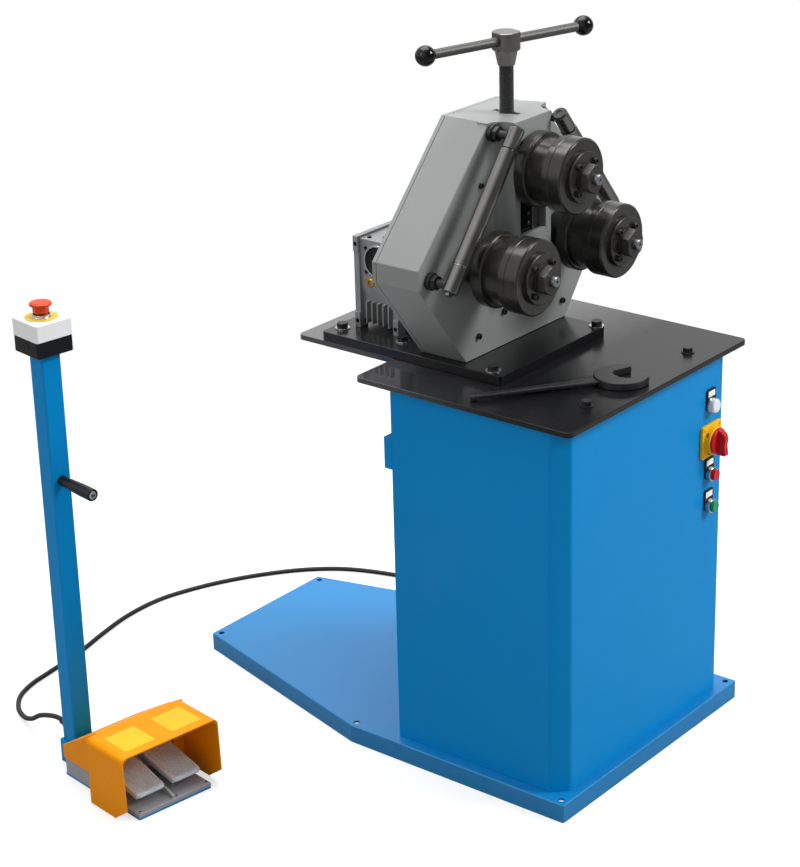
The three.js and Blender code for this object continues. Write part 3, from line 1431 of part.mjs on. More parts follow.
function glands() {
  const holder = group(pedestalX, pedestalY, 0, pedestalTurn);
  piece('post_gland', glandSolid().translate(0, postGlandFace, postGlandLevel), blackPlastic, holder);
  [['cabinet_gland', cabinetGlandY], ['mains_gland', mainsGlandY]].forEach(([name, y]) => {
    const gland = glandSolid().rotateZ(-Math.PI / 2).translate(cabinetWidth / 2, y, cabinetGlandLevel);
    piece(name, gland, blackPlastic);
  });
}

const cordRest = cordDiameter / 2 + seatGap;
const cordEndReach = glandLength + seatGap;

// Where the cord leaves the pedestal, and which way it points there
const cordOutward = new THREE.Vector3(-Math.sin(pedestalTurn), Math.cos(pedestalTurn), 0);
const cordStart = new THREE.Vector3(pedestalX, pedestalY, postGlandLevel)
  .addScaledVector(cordOutward, postGlandFace + cordEndReach);
const cordEnd = new THREE.Vector3(cabinetWidth / 2 + cordEndReach, cabinetGlandY, cabinetGlandLevel);
const cordStraight = 3 * cordDiameter;

// The route on the floor, from the pedestal round the tail of the base to the cabinet's right side
const cordRoute = [
  [-624, 780, 44], [-615, 818, 20], [-604, 852, 8], [-584, 890, cordRest], [-548, 924, cordRest],
  [-500, 943, cordRest], [-448, 951, cordRest], [-354, 964, cordRest], [-255, 988, cordRest],
  [-168, 1004, cordRest], [-74, 1003, cordRest], [15, 977, cordRest], [88, 943, cordRest],
  [157, 900, cordRest], [222, 846, cordRest], [275, 778, cordRest], [310, 692, cordRest],
  [332, 596, cordRest], [348, 496, cordRest], [361, 396, cordRest], [371, 300, cordRest],
  [376, 236, 6.4], [377, 196, 12], [373, 162, 28], [361, 136, 56], [342, 123, 84],
];

function signalCord() {
  const leave = cordStart.clone().addScaledVector(cordOutward, cordStraight);
  const arrive = cordEnd.clone().add(new THREE.Vector3(cordStraight, 0, 0));
  const points = [cordStart, leave, ...cordRoute.map((at) => new THREE.Vector3(...at)), arrive, cordEnd];
  const path = new THREE.CatmullRomCurve3(points, false, 'centripetal');
  const section = outline(circlePoints(cordDiameter / 2, cordSides));
  const sweep = { steps: cordStepCount, extrudePath: path, bevelEnabled: false };
  piece('signal_cord', closed(new THREE.ExtrudeGeometry(section, sweep)), cordRubber);
}

// Spanner: head, jaw and tapered shank, drawn along X with the jaw at +X

function spanner() {
  const radius = spannerHeadDiameter / 2;
  const head = uprightPrism(circlePoints(radius, fineSteps), 0, spannerThick);
  const half = spannerJaw / 2;
  const mouth = uprightPrism([
    point(-spannerThroat, -half / 2), point(0, -half), point(2 * radius, -half),
    point(2 * radius, half), point(0, half), point(-spannerThroat, half / 2),
  ], -overrun, spannerThick + overrun).rotateZ(spannerJawTurn);
  const nose = uprightPrism(
    rectangle(spannerNose, -radius, 2 * radius, radius), -overrun, spannerThick + overrun)
    .rotateZ(spannerJawTurn);
  const shankLow = (spannerThick - spannerShankThick) / 2;
  const tailX = -spannerReach + spannerTailDiameter / 2;
  const shank = uprightPrism([
    point(tailX, -spannerShankNarrow / 2), point(-radius / 2, -spannerShankWide / 2),
    point(-radius / 2, spannerShankWide / 2), point(tailX, spannerShankNarrow / 2),
  ], shankLow, shankLow + spannerShankThick);
  const tail = uprightPrism(circlePoints(spannerTailDiameter / 2, midSteps, tailX, 0), 0, spannerThick);
  const holder = group(spannerX, spannerY, tableTop + seatGap, spannerTurn);
  piece('spanner', join(cut(head, mouth, nose), shank, tail), darkSteel, holder);
}

standBase();
cabinet();
door();
controlGear();
table();
headPlate();
headCasing();
headCover();
frontBearing('left', -lowerRollerHalfPitch);
frontBearing('right', lowerRollerHalfPitch);
gearTrain();
rollerStack('left', -lowerRollerHalfPitch, lowerRollerLevel, lowerShaft('left', -lowerRollerHalfPitch));
rollerStack('right', lowerRollerHalfPitch, lowerRollerLevel, lowerShaft('right', lowerRollerHalfPitch));
rollerStack('top', 0, topRollerLevel, topShaft());
slideBlock();
screwNut();
adjustingScrew();
sideGuide('left', -1);
sideGuide('right', 1);
gearbox();
motor();
controls();
pedestal();
glands();
signalCord();
spanner();

export default model;
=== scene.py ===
"""Ring roller with three powered rollers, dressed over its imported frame.

Sizes are written in millimetres and scaled once, when a form becomes a mesh.
"""

import json
import math

import bmesh
import bpy
from mathutils import Matrix, Vector

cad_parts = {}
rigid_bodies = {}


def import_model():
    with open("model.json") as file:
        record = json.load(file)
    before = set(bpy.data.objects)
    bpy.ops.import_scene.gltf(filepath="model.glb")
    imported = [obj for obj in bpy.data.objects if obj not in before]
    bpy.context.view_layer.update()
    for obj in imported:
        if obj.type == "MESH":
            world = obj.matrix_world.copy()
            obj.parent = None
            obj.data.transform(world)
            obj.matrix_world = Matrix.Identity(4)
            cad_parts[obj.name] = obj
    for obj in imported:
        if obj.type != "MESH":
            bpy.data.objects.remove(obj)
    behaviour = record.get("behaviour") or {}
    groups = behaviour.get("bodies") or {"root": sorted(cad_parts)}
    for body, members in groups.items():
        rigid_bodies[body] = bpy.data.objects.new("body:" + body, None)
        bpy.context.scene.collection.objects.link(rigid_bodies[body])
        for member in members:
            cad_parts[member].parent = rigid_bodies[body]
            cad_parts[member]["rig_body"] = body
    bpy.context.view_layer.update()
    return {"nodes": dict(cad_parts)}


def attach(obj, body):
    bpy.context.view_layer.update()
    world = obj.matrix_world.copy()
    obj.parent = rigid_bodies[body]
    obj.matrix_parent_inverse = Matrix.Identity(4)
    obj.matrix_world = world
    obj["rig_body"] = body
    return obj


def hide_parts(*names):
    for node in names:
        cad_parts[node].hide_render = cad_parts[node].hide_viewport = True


bl_info = {
    "name": "Ring Roller",
    "version": (1, 0, 0),
    "blender": (4, 5, 0),
    "location": "3D View > Sidebar > Ring Roller",
    "description": "Builds a dressed ring roller over its packed frame",
    "category": "Object",
}

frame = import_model()

MM = 0.001
TURN = 2 * math.pi
HERE = Matrix.Identity(4)

# Places: matrices in millimetres; the Z axis of facing_rear points to the rear, and so on


def at(x, y, z):
    return Matrix.Translation((x, y, z))


def spun(degrees, axis="Z"):
    return Matrix.Rotation(math.radians(degrees), 4, axis)


def facing(degrees, axis):
    return lambda x=0, y=0, z=0: at(x, y, z) @ spun(degrees, axis)


facing_rear = facing(-90, "X")
facing_front = facing(90, "X")
facing_right = facing(90, "Y")
facing_down = facing(180, "X")

PEDESTAL = at(-647, 653, 0) @ spun(-9)
GRIP = PEDESTAL @ facing_front(0, 0, 580)
MOTOR = facing_right(0, 339, 895)
ROLLER_AXES = {"top": (0, 1092), "left": (-127, 942), "right": (127, 942)}
SCREW_AXIS = 123
CASTING_FACE = 104
TABLE_TOP = 746
PLATE_TOP = 764

# Properties


def linear(level):
    part = level / 255
    return part / 12.92 if part <= 0.04045 else ((part + 0.055) / 1.055) ** 2.4


def shade(name, description, red, green, blue):
    return bpy.props.FloatVectorProperty(
        name=name, description=description, subtype="COLOR", size=3, min=0, max=1,
        default=[linear(level) for level in (red, green, blue)])


def length(name, description, millimetres):
    return bpy.props.FloatProperty(
        name=name, description=description, default=millimetres * MM, min=0,
        unit="LENGTH", subtype="DISTANCE")


def share(name, description, value):
    return bpy.props.FloatProperty(
        name=name, description=description, default=value, min=0, max=1, subtype="FACTOR")


def power(name, description, watts):
    return bpy.props.FloatProperty(
        name=name, description=description, default=watts, min=0, unit="POWER")


class PaintColours(bpy.types.PropertyGroup):
    """Colours of the painted and moulded surfaces"""

    blue: shade("Blue", "Powder coat of the cabinet, base and post", 0, 139, 209)
    grey: shade("Grey", "Paint of the roller head", 134, 137, 136)
    black: shade("Black", "Paint of the table and the head plate", 17, 17, 19)
    orange: shade("Orange", "Powder coat of the pedal guard", 255, 154, 0)
    motor: shade("Motor grey", "Paint of the motor", 108, 113, 117)
    red: shade("Red", "Switch knob and red push button", 206, 22, 30)
    signal: shade("Signal red", "Mushroom of the stop box", 198, 58, 8)
    disc: shade("Disc yellow", "Disc under the stop button", 214, 178, 60)
    green: shade("Green", "Start button", 8, 150, 98)
    yellow: shade("Yellow", "Switch plate and plates of the guard", 250, 190, 8)
    white: shade("White", "Box lid and legend cards", 246, 246, 246)
    dark_plastic: shade("Black plastic", "Box base, grip, bodies and glands", 13, 13, 14)
    rubber: shade("Rubber", "Sheath of the signal cord", 22, 20, 20)


class MetalColours(bpy.types.PropertyGroup):
    """Colours of the bare metal"""

    roller: shade("Roller steel", "Oiled, blackened steel of the rollers", 62, 61, 59)
    dark: shade("Dark steel", "Blackened steel of screws, nuts and spanner", 62, 62, 64)
    guide: shade("Guide steel", "Polished dark steel of the side guides", 140, 139, 137)
    nut: shade("Nut steel", "Forged nuts of the roller shafts", 70, 69, 67)
    bright: shade("Bright steel", "Machined steel", 205, 206, 208)
    gear: shade("Gear steel", "Steel of the gears", 150, 152, 156)
    bronze: shade("Bronze", "Screw nut", 186, 140, 84)
    brass: shade("Brass", "Oil plug of the gearbox", 214, 160, 70)
    aluminium: shade("Aluminium", "Castings of the gearbox", 152, 153, 154)
    pedal: shade("Pedal grey", "Cast foot switch", 176, 178, 184)
    # Lighter than the pedal grey as painted light, for treadles in the guard's shadow
    tread: shade("Tread grey", "Ribbed treadles", 232, 242, 255)


class RollerSizes(bpy.types.PropertyGroup):
    """Sizes of a roller stack"""

    diameter: length("Roller diameter", "Outside of both rollers", 135)
    spacer: length("Spacer diameter", "Neck between the two rollers", 119)
    flange: length("Flange diameter", "Clamp flange on the front roller", 92)
    edge: length("Edge radius", "Rounding of the rolling edges", 2.5)
    groove: length("Groove depth", "Parting groove of the front roller", 0.9)
    nut_flats: length("Nut across flats", "Shaft nut", 46)
    tip: length("Tip diameter", "Shaft end", 20)


class ScrewSizes(bpy.types.PropertyGroup):
    """Sizes of the adjusting screw and its cross bar"""

    diameter: length("Screw diameter", "Outside of the thread", 26)
    pitch: length("Thread pitch", "From one turn of the thread to the next", 3)
    depth: length("Thread depth", "Depth of the thread", 0.9)
    hub: length("Hub diameter", "Head of the screw", 50)
    bar: length("Bar diameter", "Cross bar", 17)
    bar_length: length("Bar length", "Between the middles of the ball knobs", 348)
    knob: length("Knob diameter", "Ball knobs", 36)


class StageSettings(bpy.types.PropertyGroup):
    """Light and floor of the studio"""

    floor: share("Floor", "Light that the floor throws back on the machine", 0.3)
    key: power("Key", "Power of the key light", 200)
    top: power("Top", "Power of the top light", 170)
    side: power("Side", "Power of the side light", 37)
    flag: share("Flag", "Darkening of the studio's front as glossy surfaces mirror it", 1)
    sky: share("Sky", "Strength of the light from all round", 0.46)


# Finishes

surfaces = {}

# Slots of the finishes that aren't named after their slot
SLOTS = {
    "tray_paint": "blue_paint", "plate_paint": "black_paint", "brass": "bronze",
    "disc_plastic": "yellow_plastic", "signal_plastic": "red_plastic", "tread_grey": "pedal_grey",
    **dict.fromkeys(("black_bolt", "turned_dark", "knob_black", "guide_steel", "nut_steel",
                     "bar_steel"), "dark_steel"),
}


class Wire:
    """A socket of a finish; arithmetic on it adds the nodes that work it out"""

    def __init__(self, finish, socket):
        self.finish = finish
        self.socket = socket

    def maths(self, operation, first, second):
        if self.socket.type == "RGBA":
            return self.finish.between(1, first, second, operation)
        kind = "ShaderNodeMath" if self.socket.type == "VALUE" else "ShaderNodeVectorMath"
        return self.finish.add(kind, {"operation": operation}, {0: first, 1: second})

    def __add__(self, other):
        return self.maths("ADD", self, other)

    def __radd__(self, other):
        return self.maths("ADD", other, self)

    def __sub__(self, other):
        return self.maths("SUBTRACT", self, other)

    def __rsub__(self, other):
        return self.maths("SUBTRACT", other, self)

    def __mul__(self, other):
        return self.maths("MULTIPLY", self, other)

    def __rmul__(self, other):
        return self.maths("MULTIPLY", other, self)

    def __pow__(self, other):
        return self.maths("POWER", self, other)


class Finish:
    """The node tree of one named surface, or of the owner given"""

    def __init__(self, name, owner=None):
        self.name = name
        self.material = owner or bpy.data.materials.new(name)
        self.material.use_nodes = True
        self.tree = self.material.node_tree
        self.tree.nodes.clear()

    def add(self, kind, settings=None, sockets=None, output=0):
        node = self.tree.nodes.new(kind)
        for key, value in (settings or {}).items():
            setattr(node, key, value)
        for key, value in (sockets or {}).items():
            self._feed(node.inputs[key], value)
        return Wire(self, node.outputs[output]) if node.outputs else None

    def _feed(self, socket, value):
        if isinstance(value, Wire):
            self.tree.links.new(value.socket, socket)
        elif socket.type == "RGBA" and len(value) == 3:
            socket.default_value = (*value, 1)
        else:
            socket.default_value = value

    def place(self):
        return self.add("ShaderNodeTexCoord", output=3)

    def noise(self, scale, detail=2, roughness=0.5, vector=None):
        return self.add("ShaderNodeTexNoise", None, {
            "Vector": vector or self.place(), "Scale": scale, "Detail": detail,
            "Roughness": roughness})

    def rise(self, value, low, high):
        """A value stretched from nothing at low to one at high"""
        return self.add("ShaderNodeMapRange", None, {0: value, 1: low, 2: high})

    def between(self, factor, first, second, blend="MIX"):
        return self.add("ShaderNodeMix", {"data_type": "RGBA", "blend_type": blend},
                        {0: factor, 6: first, 7: second}, output=2)

    def parts(self, vector):
        """The three numbers of a vector"""
        return self.outputs("ShaderNodeSeparateXYZ", {0: vector}, 0, 1, 2)

    def outputs(self, kind, sockets, *names):
        """Several outputs of one node"""
        node = self.add(kind, None, sockets).socket.node
        return [Wire(self, node.outputs[name]) for name in names]

    def rings(self, lines):
        """Noise that changes only with the distance from the local Z axis and along it"""
        x, y, z = self.parts(self.place())
        reach = (x * x + y * y) ** 0.5
        flat = self.add("ShaderNodeCombineXYZ", None, {0: reach, 1: z})
        return self.noise(lines, 3, 0.6, flat)

    def close(self, skin=None, depth=0, **sockets):
        """The shader on a skin of the depth given; a socket's name has _ for each blank"""
        sockets = {key.replace("_", " "): value for key, value in sockets.items()}
        if skin:
            sockets["Normal"] = self.add(
                "ShaderNodeBump", None, {"Height": skin, "Distance": depth, "Strength": 1})
        shader = self.add("ShaderNodeBsdfPrincipled", None, sockets)
        self.add("ShaderNodeOutputMaterial", None, {0: shader})
        surfaces[self.name] = self.material


def toned(colour, factor):
    return [min(1, channel * factor) for channel in colour]


def mottled(name, colour, tones, stain, film, gloss, spread, skin, depth, **sockets):
    """Stain and film are noises: stain turns the colour between two tones, and film, or stain
    where there is none, spreads the roughness about gloss; skin is the noise of the bump"""
    finish = Finish(name)
    stain = finish.noise(*stain)
    film = finish.noise(*film) if film else stain
    low, high = (toned(colour, tone) for tone in tones)
    finish.close(
        finish.noise(*skin), depth, Base_Color=finish.between(stain, low, high),
        Roughness=film * spread + (gloss - spread / 2), **sockets)


def powder_coat(name, colour, gloss=0.33, grain=520, veil=0.2):
    """Baked powder paint: a fine orange peel, a slow change of tone and dull patches"""
    mottled(name, colour, (0.93, 1.06), (2.6, 3), (9, 3), gloss, 0.14, (grain,), 0.00011,
            Specular_IOR_Level=veil)


def black_oxide(name, colour, gloss=0.42, metallic=0.7):
    """Blackened forged steel with a mottled skin"""
    mottled(name, colour, (0.6, 1.3), (60, 4, 0.65), None, gloss, 0.22, (700, 3), 0.00006,
            Metallic=metallic)


def cast_metal(name, colour, metallic, gloss, pits):
    """Bare cast metal with a sandy skin and grey stains"""
    mottled(name, colour, (0.72, 1.12), (18, 4, 0.6), None, gloss, 0.2, (pits, 3, 0.6), 0.00018,
            Metallic=metallic)


def moulded(name, colour, gloss):
    """Moulded plastic with a spark-eroded grain and slight flow marks"""
    mottled(name, colour, (0.93, 1.06), (30, 3), None, gloss, 0.14, (1400,), 0.00004,
            Specular_IOR_Level=0.3)


def cord_sheath(name, colour):
    """Extruded rubber sheath with dust"""
    mottled(name, colour, (0.8, 1.9), (40, 4, 0.6), None, 0.52, 0.2, (900,), 0.00005,
            Specular_IOR_Level=0.35)


def cast_paint(name, colour):
    """Satin paint over a fettled casting, with filler waves and small pits"""
    finish = Finish(name)
    slow = finish.noise(4, 3)
    finish.close(
        finish.noise(260, 3) * 0.4 + finish.noise(14) * 3, 0.00022,
        Base_Color=finish.between(slow, toned(colour, 0.94), toned(colour, 1.05)),
        Roughness=finish.noise(20, 3) * 0.16 + 0.36,
        Specular_IOR_Level=0.75)


def gloss_paint(name, colour, polish_and_sheen):
    """Hard gloss paint with hair scratches, dulled toward the operator; a painted sheen lightens it
    toward the rear
    """
    finish = Finish(name)
    stretched = finish.add("ShaderNodeMapping", None, {0: finish.place(), "Scale": (40, 700, 40)})
    hair = finish.rise(finish.noise(1, 4, 0.7, stretched), 0.6, 0.75)
    dull = finish.noise(7, 4, 0.6)
    rear_coat_and_sheen = finish.rise(finish.parts(finish.place())[1], -0.04, 0.24)
    # Painted sheen: the colour lightens up to sevenfold toward the rear, where the coat also
    # thickens
    painted_sheen = finish.between(rear_coat_and_sheen * polish_and_sheen, colour, toned(colour, 7))
    finish.close(
        finish.noise(420), 0.00005,
        Base_Color=finish.between(hair * 0.35, painted_sheen, toned(colour, 3.2)) * (dull * 0.4 + 0.8),
        Roughness=dull * 0.22 + 0.14,
        Specular_IOR_Level=0.3,
        Coat_Weight=rear_coat_and_sheen * polish_and_sheen + dull * 0.06)


def turned_steel(name, colour, gloss, contrast, metallic):
    """Turned steel: fine tool rings round the local Z axis under a film of oil"""
    finish = Finish(name)
    rings, film = finish.rings(1500), finish.noise(24, 3)
    tone = rings * contrast + film * 0.3
    finish.close(
        rings, 0.00004,
        Base_Color=finish.between(tone, toned(colour, 0.62), toned(colour, 1.35)),
        Metallic=metallic,
        Roughness=film * 0.08 + rings * 0.1 + (gloss - 0.09))


def lens_plastic(name, colour):
    """Milky lamp lens"""
    finish = Finish(name)
    flow = finish.noise(60)
    finish.close(
        Base_Color=finish.between(flow, toned(colour, 0.94), colour),
        Roughness=flow * 0.1 + 0.14, IOR=1.46, Coat_Weight=0.6)


# Forms


def hexed(flats):
    """Distance from the axis to a hexagon's edge, with a corner on the local Y axis"""
    def reach(angle):
        turned = (angle - math.pi / 2 + math.pi / 6) % (math.pi / 3) - math.pi / 6
        return flats / 2 / math.cos(math.pi / 6 - abs(turned))

    return reach


def eased(profile, ease, closed, steps):
    """Rounds the corners of a turned profile"""
    result = []
    for i, spot in enumerate(profile):
        before, after = profile[i - 1], profile[(i + 1) % len(profile)]
        ends = not closed and i in (0, len(profile) - 1)
        if ends or any(callable(radius) for radius, _ in (before, spot, after)):
            result.append(spot)
            continue
        corner = Vector(spot)
        back, ahead = Vector(before) - corner, Vector(after) - corner
        cut = min(ease, back.length * 0.45, ahead.length * 0.45)
        if cut < 1e-4 or back.angle(ahead, 0) > math.radians(172):
            result.append(spot)
            continue
        start, end = corner + back.normalized() * cut, corner + ahead.normalized() * cut
        for t in (step / steps for step in range(steps + 1)):
            result.append(tuple(start * (1 - t) ** 2 + corner * 2 * t * (1 - t) + end * t**2))
    return result


def circle(radius, steps, x=0, y=0):
    angles = [TURN * i / steps for i in range(steps)]
    return [(x + radius * math.cos(angle), y + radius * math.sin(angle)) for angle in angles]


def corners(x, y):
    return (-x, -y), (-x, y), (x, -y), (x, y)


def rounded(points, radius, steps=6):
    """An outline with its corners rounded; radius is one size or one for each corner"""
    result = []
    for i, here in enumerate(points):
        reach = radius[i] if isinstance(radius, list) else radius
        corner = Vector(here)
        if reach <= 0:
            result.append(tuple(corner))
            continue
        back = Vector(points[i - 1]) - corner
        ahead = Vector(points[(i + 1) % len(points)]) - corner
        half = back.angle(ahead) / 2
        cut = min(reach / math.tan(half), back.length * 0.49, ahead.length * 0.49)
        back.normalize()
        ahead.normalize()
        middle = corner + (back + ahead).normalized() * (cut * math.tan(half) / math.sin(half))
        start, end = corner + back * cut - middle, corner + ahead * cut - middle
        sweep = math.atan2(start.cross(end), start.dot(end))
        for angle in (sweep * step / steps for step in range(steps + 1)):
            cos, sin = math.cos(angle), math.sin(angle)
            spoke = Vector((start.x * cos - start.y * sin, start.x * sin + start.y * cos))
            result.append(tuple(middle + spoke))
    return result


def box_outline(left, bottom, right, top, radius=0.0):
    return rounded([(left, bottom), (right, bottom), (right, top), (left, top)], radius)


def inset(points, distance):
    """An outline moved inward, every edge by the same distance"""
    result = []
    for i, here in enumerate(points):
        here, after = Vector(here), Vector(points[(i + 1) % len(points)])
        a, b = (here - Vector(points[i - 1])).normalized(), (after - here).normalized()
        move = distance / (1 + a.dot(b))
        result.append((here.x - move * (a.y + b.y), here.y + move * (a.x + b.x)))
    return result


def shown(name, data):
    thing = bpy.data.objects.new(name, data)
    bpy.context.scene.collection.objects.link(thing)
    return thing


def smooth_piece(name, form, sharp):
    """An object from a bmesh; its large flat faces stay flat beside their rounded edges"""
    mesh = bpy.data.meshes.new(name)
    form.to_mesh(mesh)
    form.free()
    mesh.shade_smooth()
    mesh.set_sharp_from_angle(angle=math.radians(sharp))
    piece = shown(name, mesh)
    even = piece.modifiers.new("level", "WEIGHTED_NORMAL")
    even.keep_sharp = True
    even.weight = 60
    return piece


def fit(piece, body, finish, nodes):
    """Gives a piece its finish, its body and the frame's nodes that it stands for"""
    piece.data.materials.clear()
    piece.data.materials.append(surfaces[finish])
    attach(piece, body)
    if nodes:
        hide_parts(*nodes)


class Form:
    """Shells gathered into one mesh, drawn in millimetres about the form's own place"""

    def __init__(self, where=HERE):
        self.where = where
        self.mesh = bmesh.new()

    def _loop(self, points, place):
        return [self.mesh.verts.new(place @ Vector(point)) for point in points]

    def _bridge(self, low, high):
        count = max(len(low), len(high))
        for i in range(count):
            j = (i + 1) % count
            if len(low) == 1:
                self.mesh.faces.new((low[0], high[j], high[i]))
            elif len(high) == 1:
                self.mesh.faces.new((low[i], low[j], high[0]))
            else:
                self.mesh.faces.new((low[i], low[j], high[j], high[i]))

    def turned(self, profile, ease=0, steps=64, place=HERE, closed=False, rounds=3):
        """A form turned about Z; each profile entry is a radius, or a rule for it, and a height"""
        angles = [TURN * i / steps for i in range(steps)]
        loops = []
        for radius, height in eased(profile, ease, closed, rounds):
            rim = [(0, 0, height)]
            if callable(radius) or abs(radius) > 1e-6:
                reach = radius if callable(radius) else lambda angle: radius
                rim = [(reach(a) * math.cos(a), reach(a) * math.sin(a), height) for a in angles]
            loops.append(self._loop(rim, place))
        for low, high in zip(loops, loops[1:] + loops[:1] * closed):
            self._bridge(low, high)
        return self

    def disc(self, radius, low, high, ease=0, steps=64, place=HERE, bore=0):
        """A turned disc or rod, or a ring where it has a bore"""
        profile = [(bore, low), (radius, low), (radius, high), (bore, high)]
        return self.turned(profile, ease, steps, place, bore > 0)

    def prism(self, outline, low, high, ease=0, place=HERE, holes=(), ease_low=None):
        """A prism on an outline, with rounded edges and straight holes"""
        bottom = ease if ease_low is None else ease_low
        arc = [(math.sin(i * math.pi / 6), math.cos(i * math.pi / 6)) for i in range(4)]
        levels = [(low, 0)]
        if bottom:
            levels = [(low + bottom * (1 - fall), bottom * (1 - run)) for run, fall in arc]
        if ease:
            levels += [(high - ease * (1 - run), ease * (1 - fall)) for run, fall in arc]
        else:
            levels.append((high, 0))
        loops = [
            self._loop([(x, y, z) for x, y in (inset(outline, by) if by else outline)], place)
            for z, by in levels
        ]
        for pair in zip(loops, loops[1:]):
            self._bridge(*pair)
        bores = [
            [self._loop([(x, y, z) for x, y in hole], place) for z in (low, high)]
            for hole in holes
        ]
        for bore in bores:
            self._bridge(*bore)
        for end in (0, -1):
            if not bores:
                self.mesh.faces.new(loops[end])
                continue
            edges = []
            for rim in [loops[end]] + [bore[end] for bore in bores]:
                edges += [self._edge(rim[i - 1], rim[i]) for i in range(len(rim))]
            bmesh.ops.triangle_fill(self.mesh, edges=edges, use_beauty=True)
        return self

    def _edge(self, first, second):
        found = self.mesh.edges.get((first, second))
        return found or self.mesh.edges.new((first, second))

    def hexagon(self, flats, low, high, place=HERE, bore=0.0, chamfer=1.0):
        """A nut or bolt head with its corners turned off at both ends"""
        across = hexed(flats)
        crown = flats / 2 / math.cos(math.pi / 6)

        def cut(shrink):
            return lambda angle: min(across(angle), crown * shrink)

        levels = [(i / 4, cut(shrink)) for i, shrink in enumerate((0.9, 0.93, 0.955, 0.98, 1.01))]
        profile = [(rule, low + drop * chamfer) for drop, rule in levels]
        profile += [(rule, high - drop * chamfer) for drop, rule in reversed(levels)]
        if bore:
            return self.turned([*profile, (bore, high), (bore, low)], 0, 48, place, True)
        return self.turned([(0, low), *profile, (0, high)], 0, 48, place)

    def cap_screw(self, diameter, height, place=HERE):
        """A socket head with a chamfered rim and a hexagon recess"""
        radius = diameter / 2
        socket = hexed(radius)
        return self.turned([
            (0, -0.5), (radius, -0.5), (radius, height * 0.86), (radius * 0.94, height * 0.96),
            (radius * 0.86, height), (socket, height), (socket, height * 0.4), (0, height * 0.34),
        ], 0, 24, place)

    def close(self, name, finish, *nodes, body="machine", slot=None, sharp=32):
        """Turns the form into a piece of the machine"""
        self.mesh.transform(Matrix.Scale(MM, 4))
        bmesh.ops.recalc_face_normals(self.mesh, faces=self.mesh.faces[:])
        piece = smooth_piece(name, self.mesh, sharp)
        where = self.where.copy()
        where.translation = where.translation * MM
        piece.matrix_world = where
        fit(piece, body, finish, nodes)


def softened(node, finish, *passes):
    """The node's own form; a pass rounds edges: width, shortest edge, least and most angle"""
    source = frame["nodes"][node]
    mesh = bmesh.new()
    mesh.from_mesh(source.data)
    bmesh.ops.remove_doubles(mesh, verts=mesh.verts[:], dist=1e-5)
    bmesh.ops.dissolve_limit(
        mesh, angle_limit=math.radians(1), verts=mesh.verts[:], edges=mesh.edges[:])
    for width, shortest, least, most in passes:
        chosen = [
            edge for edge in mesh.edges
            if len(edge.link_faces) == 2
            and edge.calc_length() >= shortest * MM
            and math.radians(least) < edge.calc_face_angle(0) < math.radians(most)
        ]
        bmesh.ops.bevel(
            mesh, geom=chosen, offset=width * MM, offset_type="OFFSET", segments=3,
            profile=0.5, affect="EDGES", clamp_overlap=False, miter_outer="ARC")
    fit(smooth_piece(node + "_dressed", mesh, 34), source["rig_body"], finish, [node])


def blend(t, first, start, second, end):
    """The spot at t on a line from first, at start, to second, at end"""
    return first * ((end - t) / (end - start)) + second * ((t - start) / (end - start))


def smooth_path(points, steps):
    """Points along a centripetal curve through the route"""
    spots = [Vector(p) for p in points]
    spots = [2 * spots[0] - spots[1]] + spots + [2 * spots[-1] - spots[-2]]
    result = []
    for i in range(1, len(spots) - 2):
        p0, p1, p2, p3 = spots[i - 1:i + 3]
        t1 = (p1 - p0).length ** 0.5
        t2 = t1 + (p2 - p1).length ** 0.5
        t3 = t2 + (p3 - p2).length ** 0.5
        for step in range(steps):
            t = t1 + (t2 - t1) * step / steps
            spans = (p0, 0, p1, t1), (p1, t1, p2, t2), (p2, t2, p3, t3)
            low, middle, high = (blend(t, *span) for span in spans)
            low, high = blend(t, low, 0, middle, t2), blend(t, middle, t1, high, t3)
            result.append(blend(t, low, t1, high, t2))
    result.append(spots[-2])
    return result


# Operators


class RINGROLLER_OT_camera(bpy.types.Operator):
    """Camera at the photograph's viewing angle"""

    bl_idname = "ring_roller.camera"
    bl_label = "Camera"

    azimuth, elevation, roll = (math.radians(angle) for angle in (50.53, 22.27, -1.55))
    lens = 98.245
    place = (-3.2585, -2.298, 2.24)

    def execute(self, context):
        sideways = Vector((math.sin(self.azimuth), math.cos(self.azimuth), 0))
        ahead = sideways * math.cos(self.elevation) - Vector((0, 0, math.sin(self.elevation)))
        level = Vector((math.cos(self.azimuth), -math.sin(self.azimuth), 0))
        upright = level.cross(ahead)
        right = level * math.cos(self.roll) + upright * math.sin(self.roll)
        up = upright * math.cos(self.roll) - level * math.sin(self.roll)
        data = bpy.data.cameras.new("view")
        data.lens = self.lens
        data.sensor_width = 36
        data.sensor_fit = "AUTO"
        camera = shown("view", data)
        turn = Matrix((right, up, -ahead)).transposed().to_4x4()
        camera.matrix_world = at(*self.place) @ turn
        context.scene.camera = camera
        return {"FINISHED"}


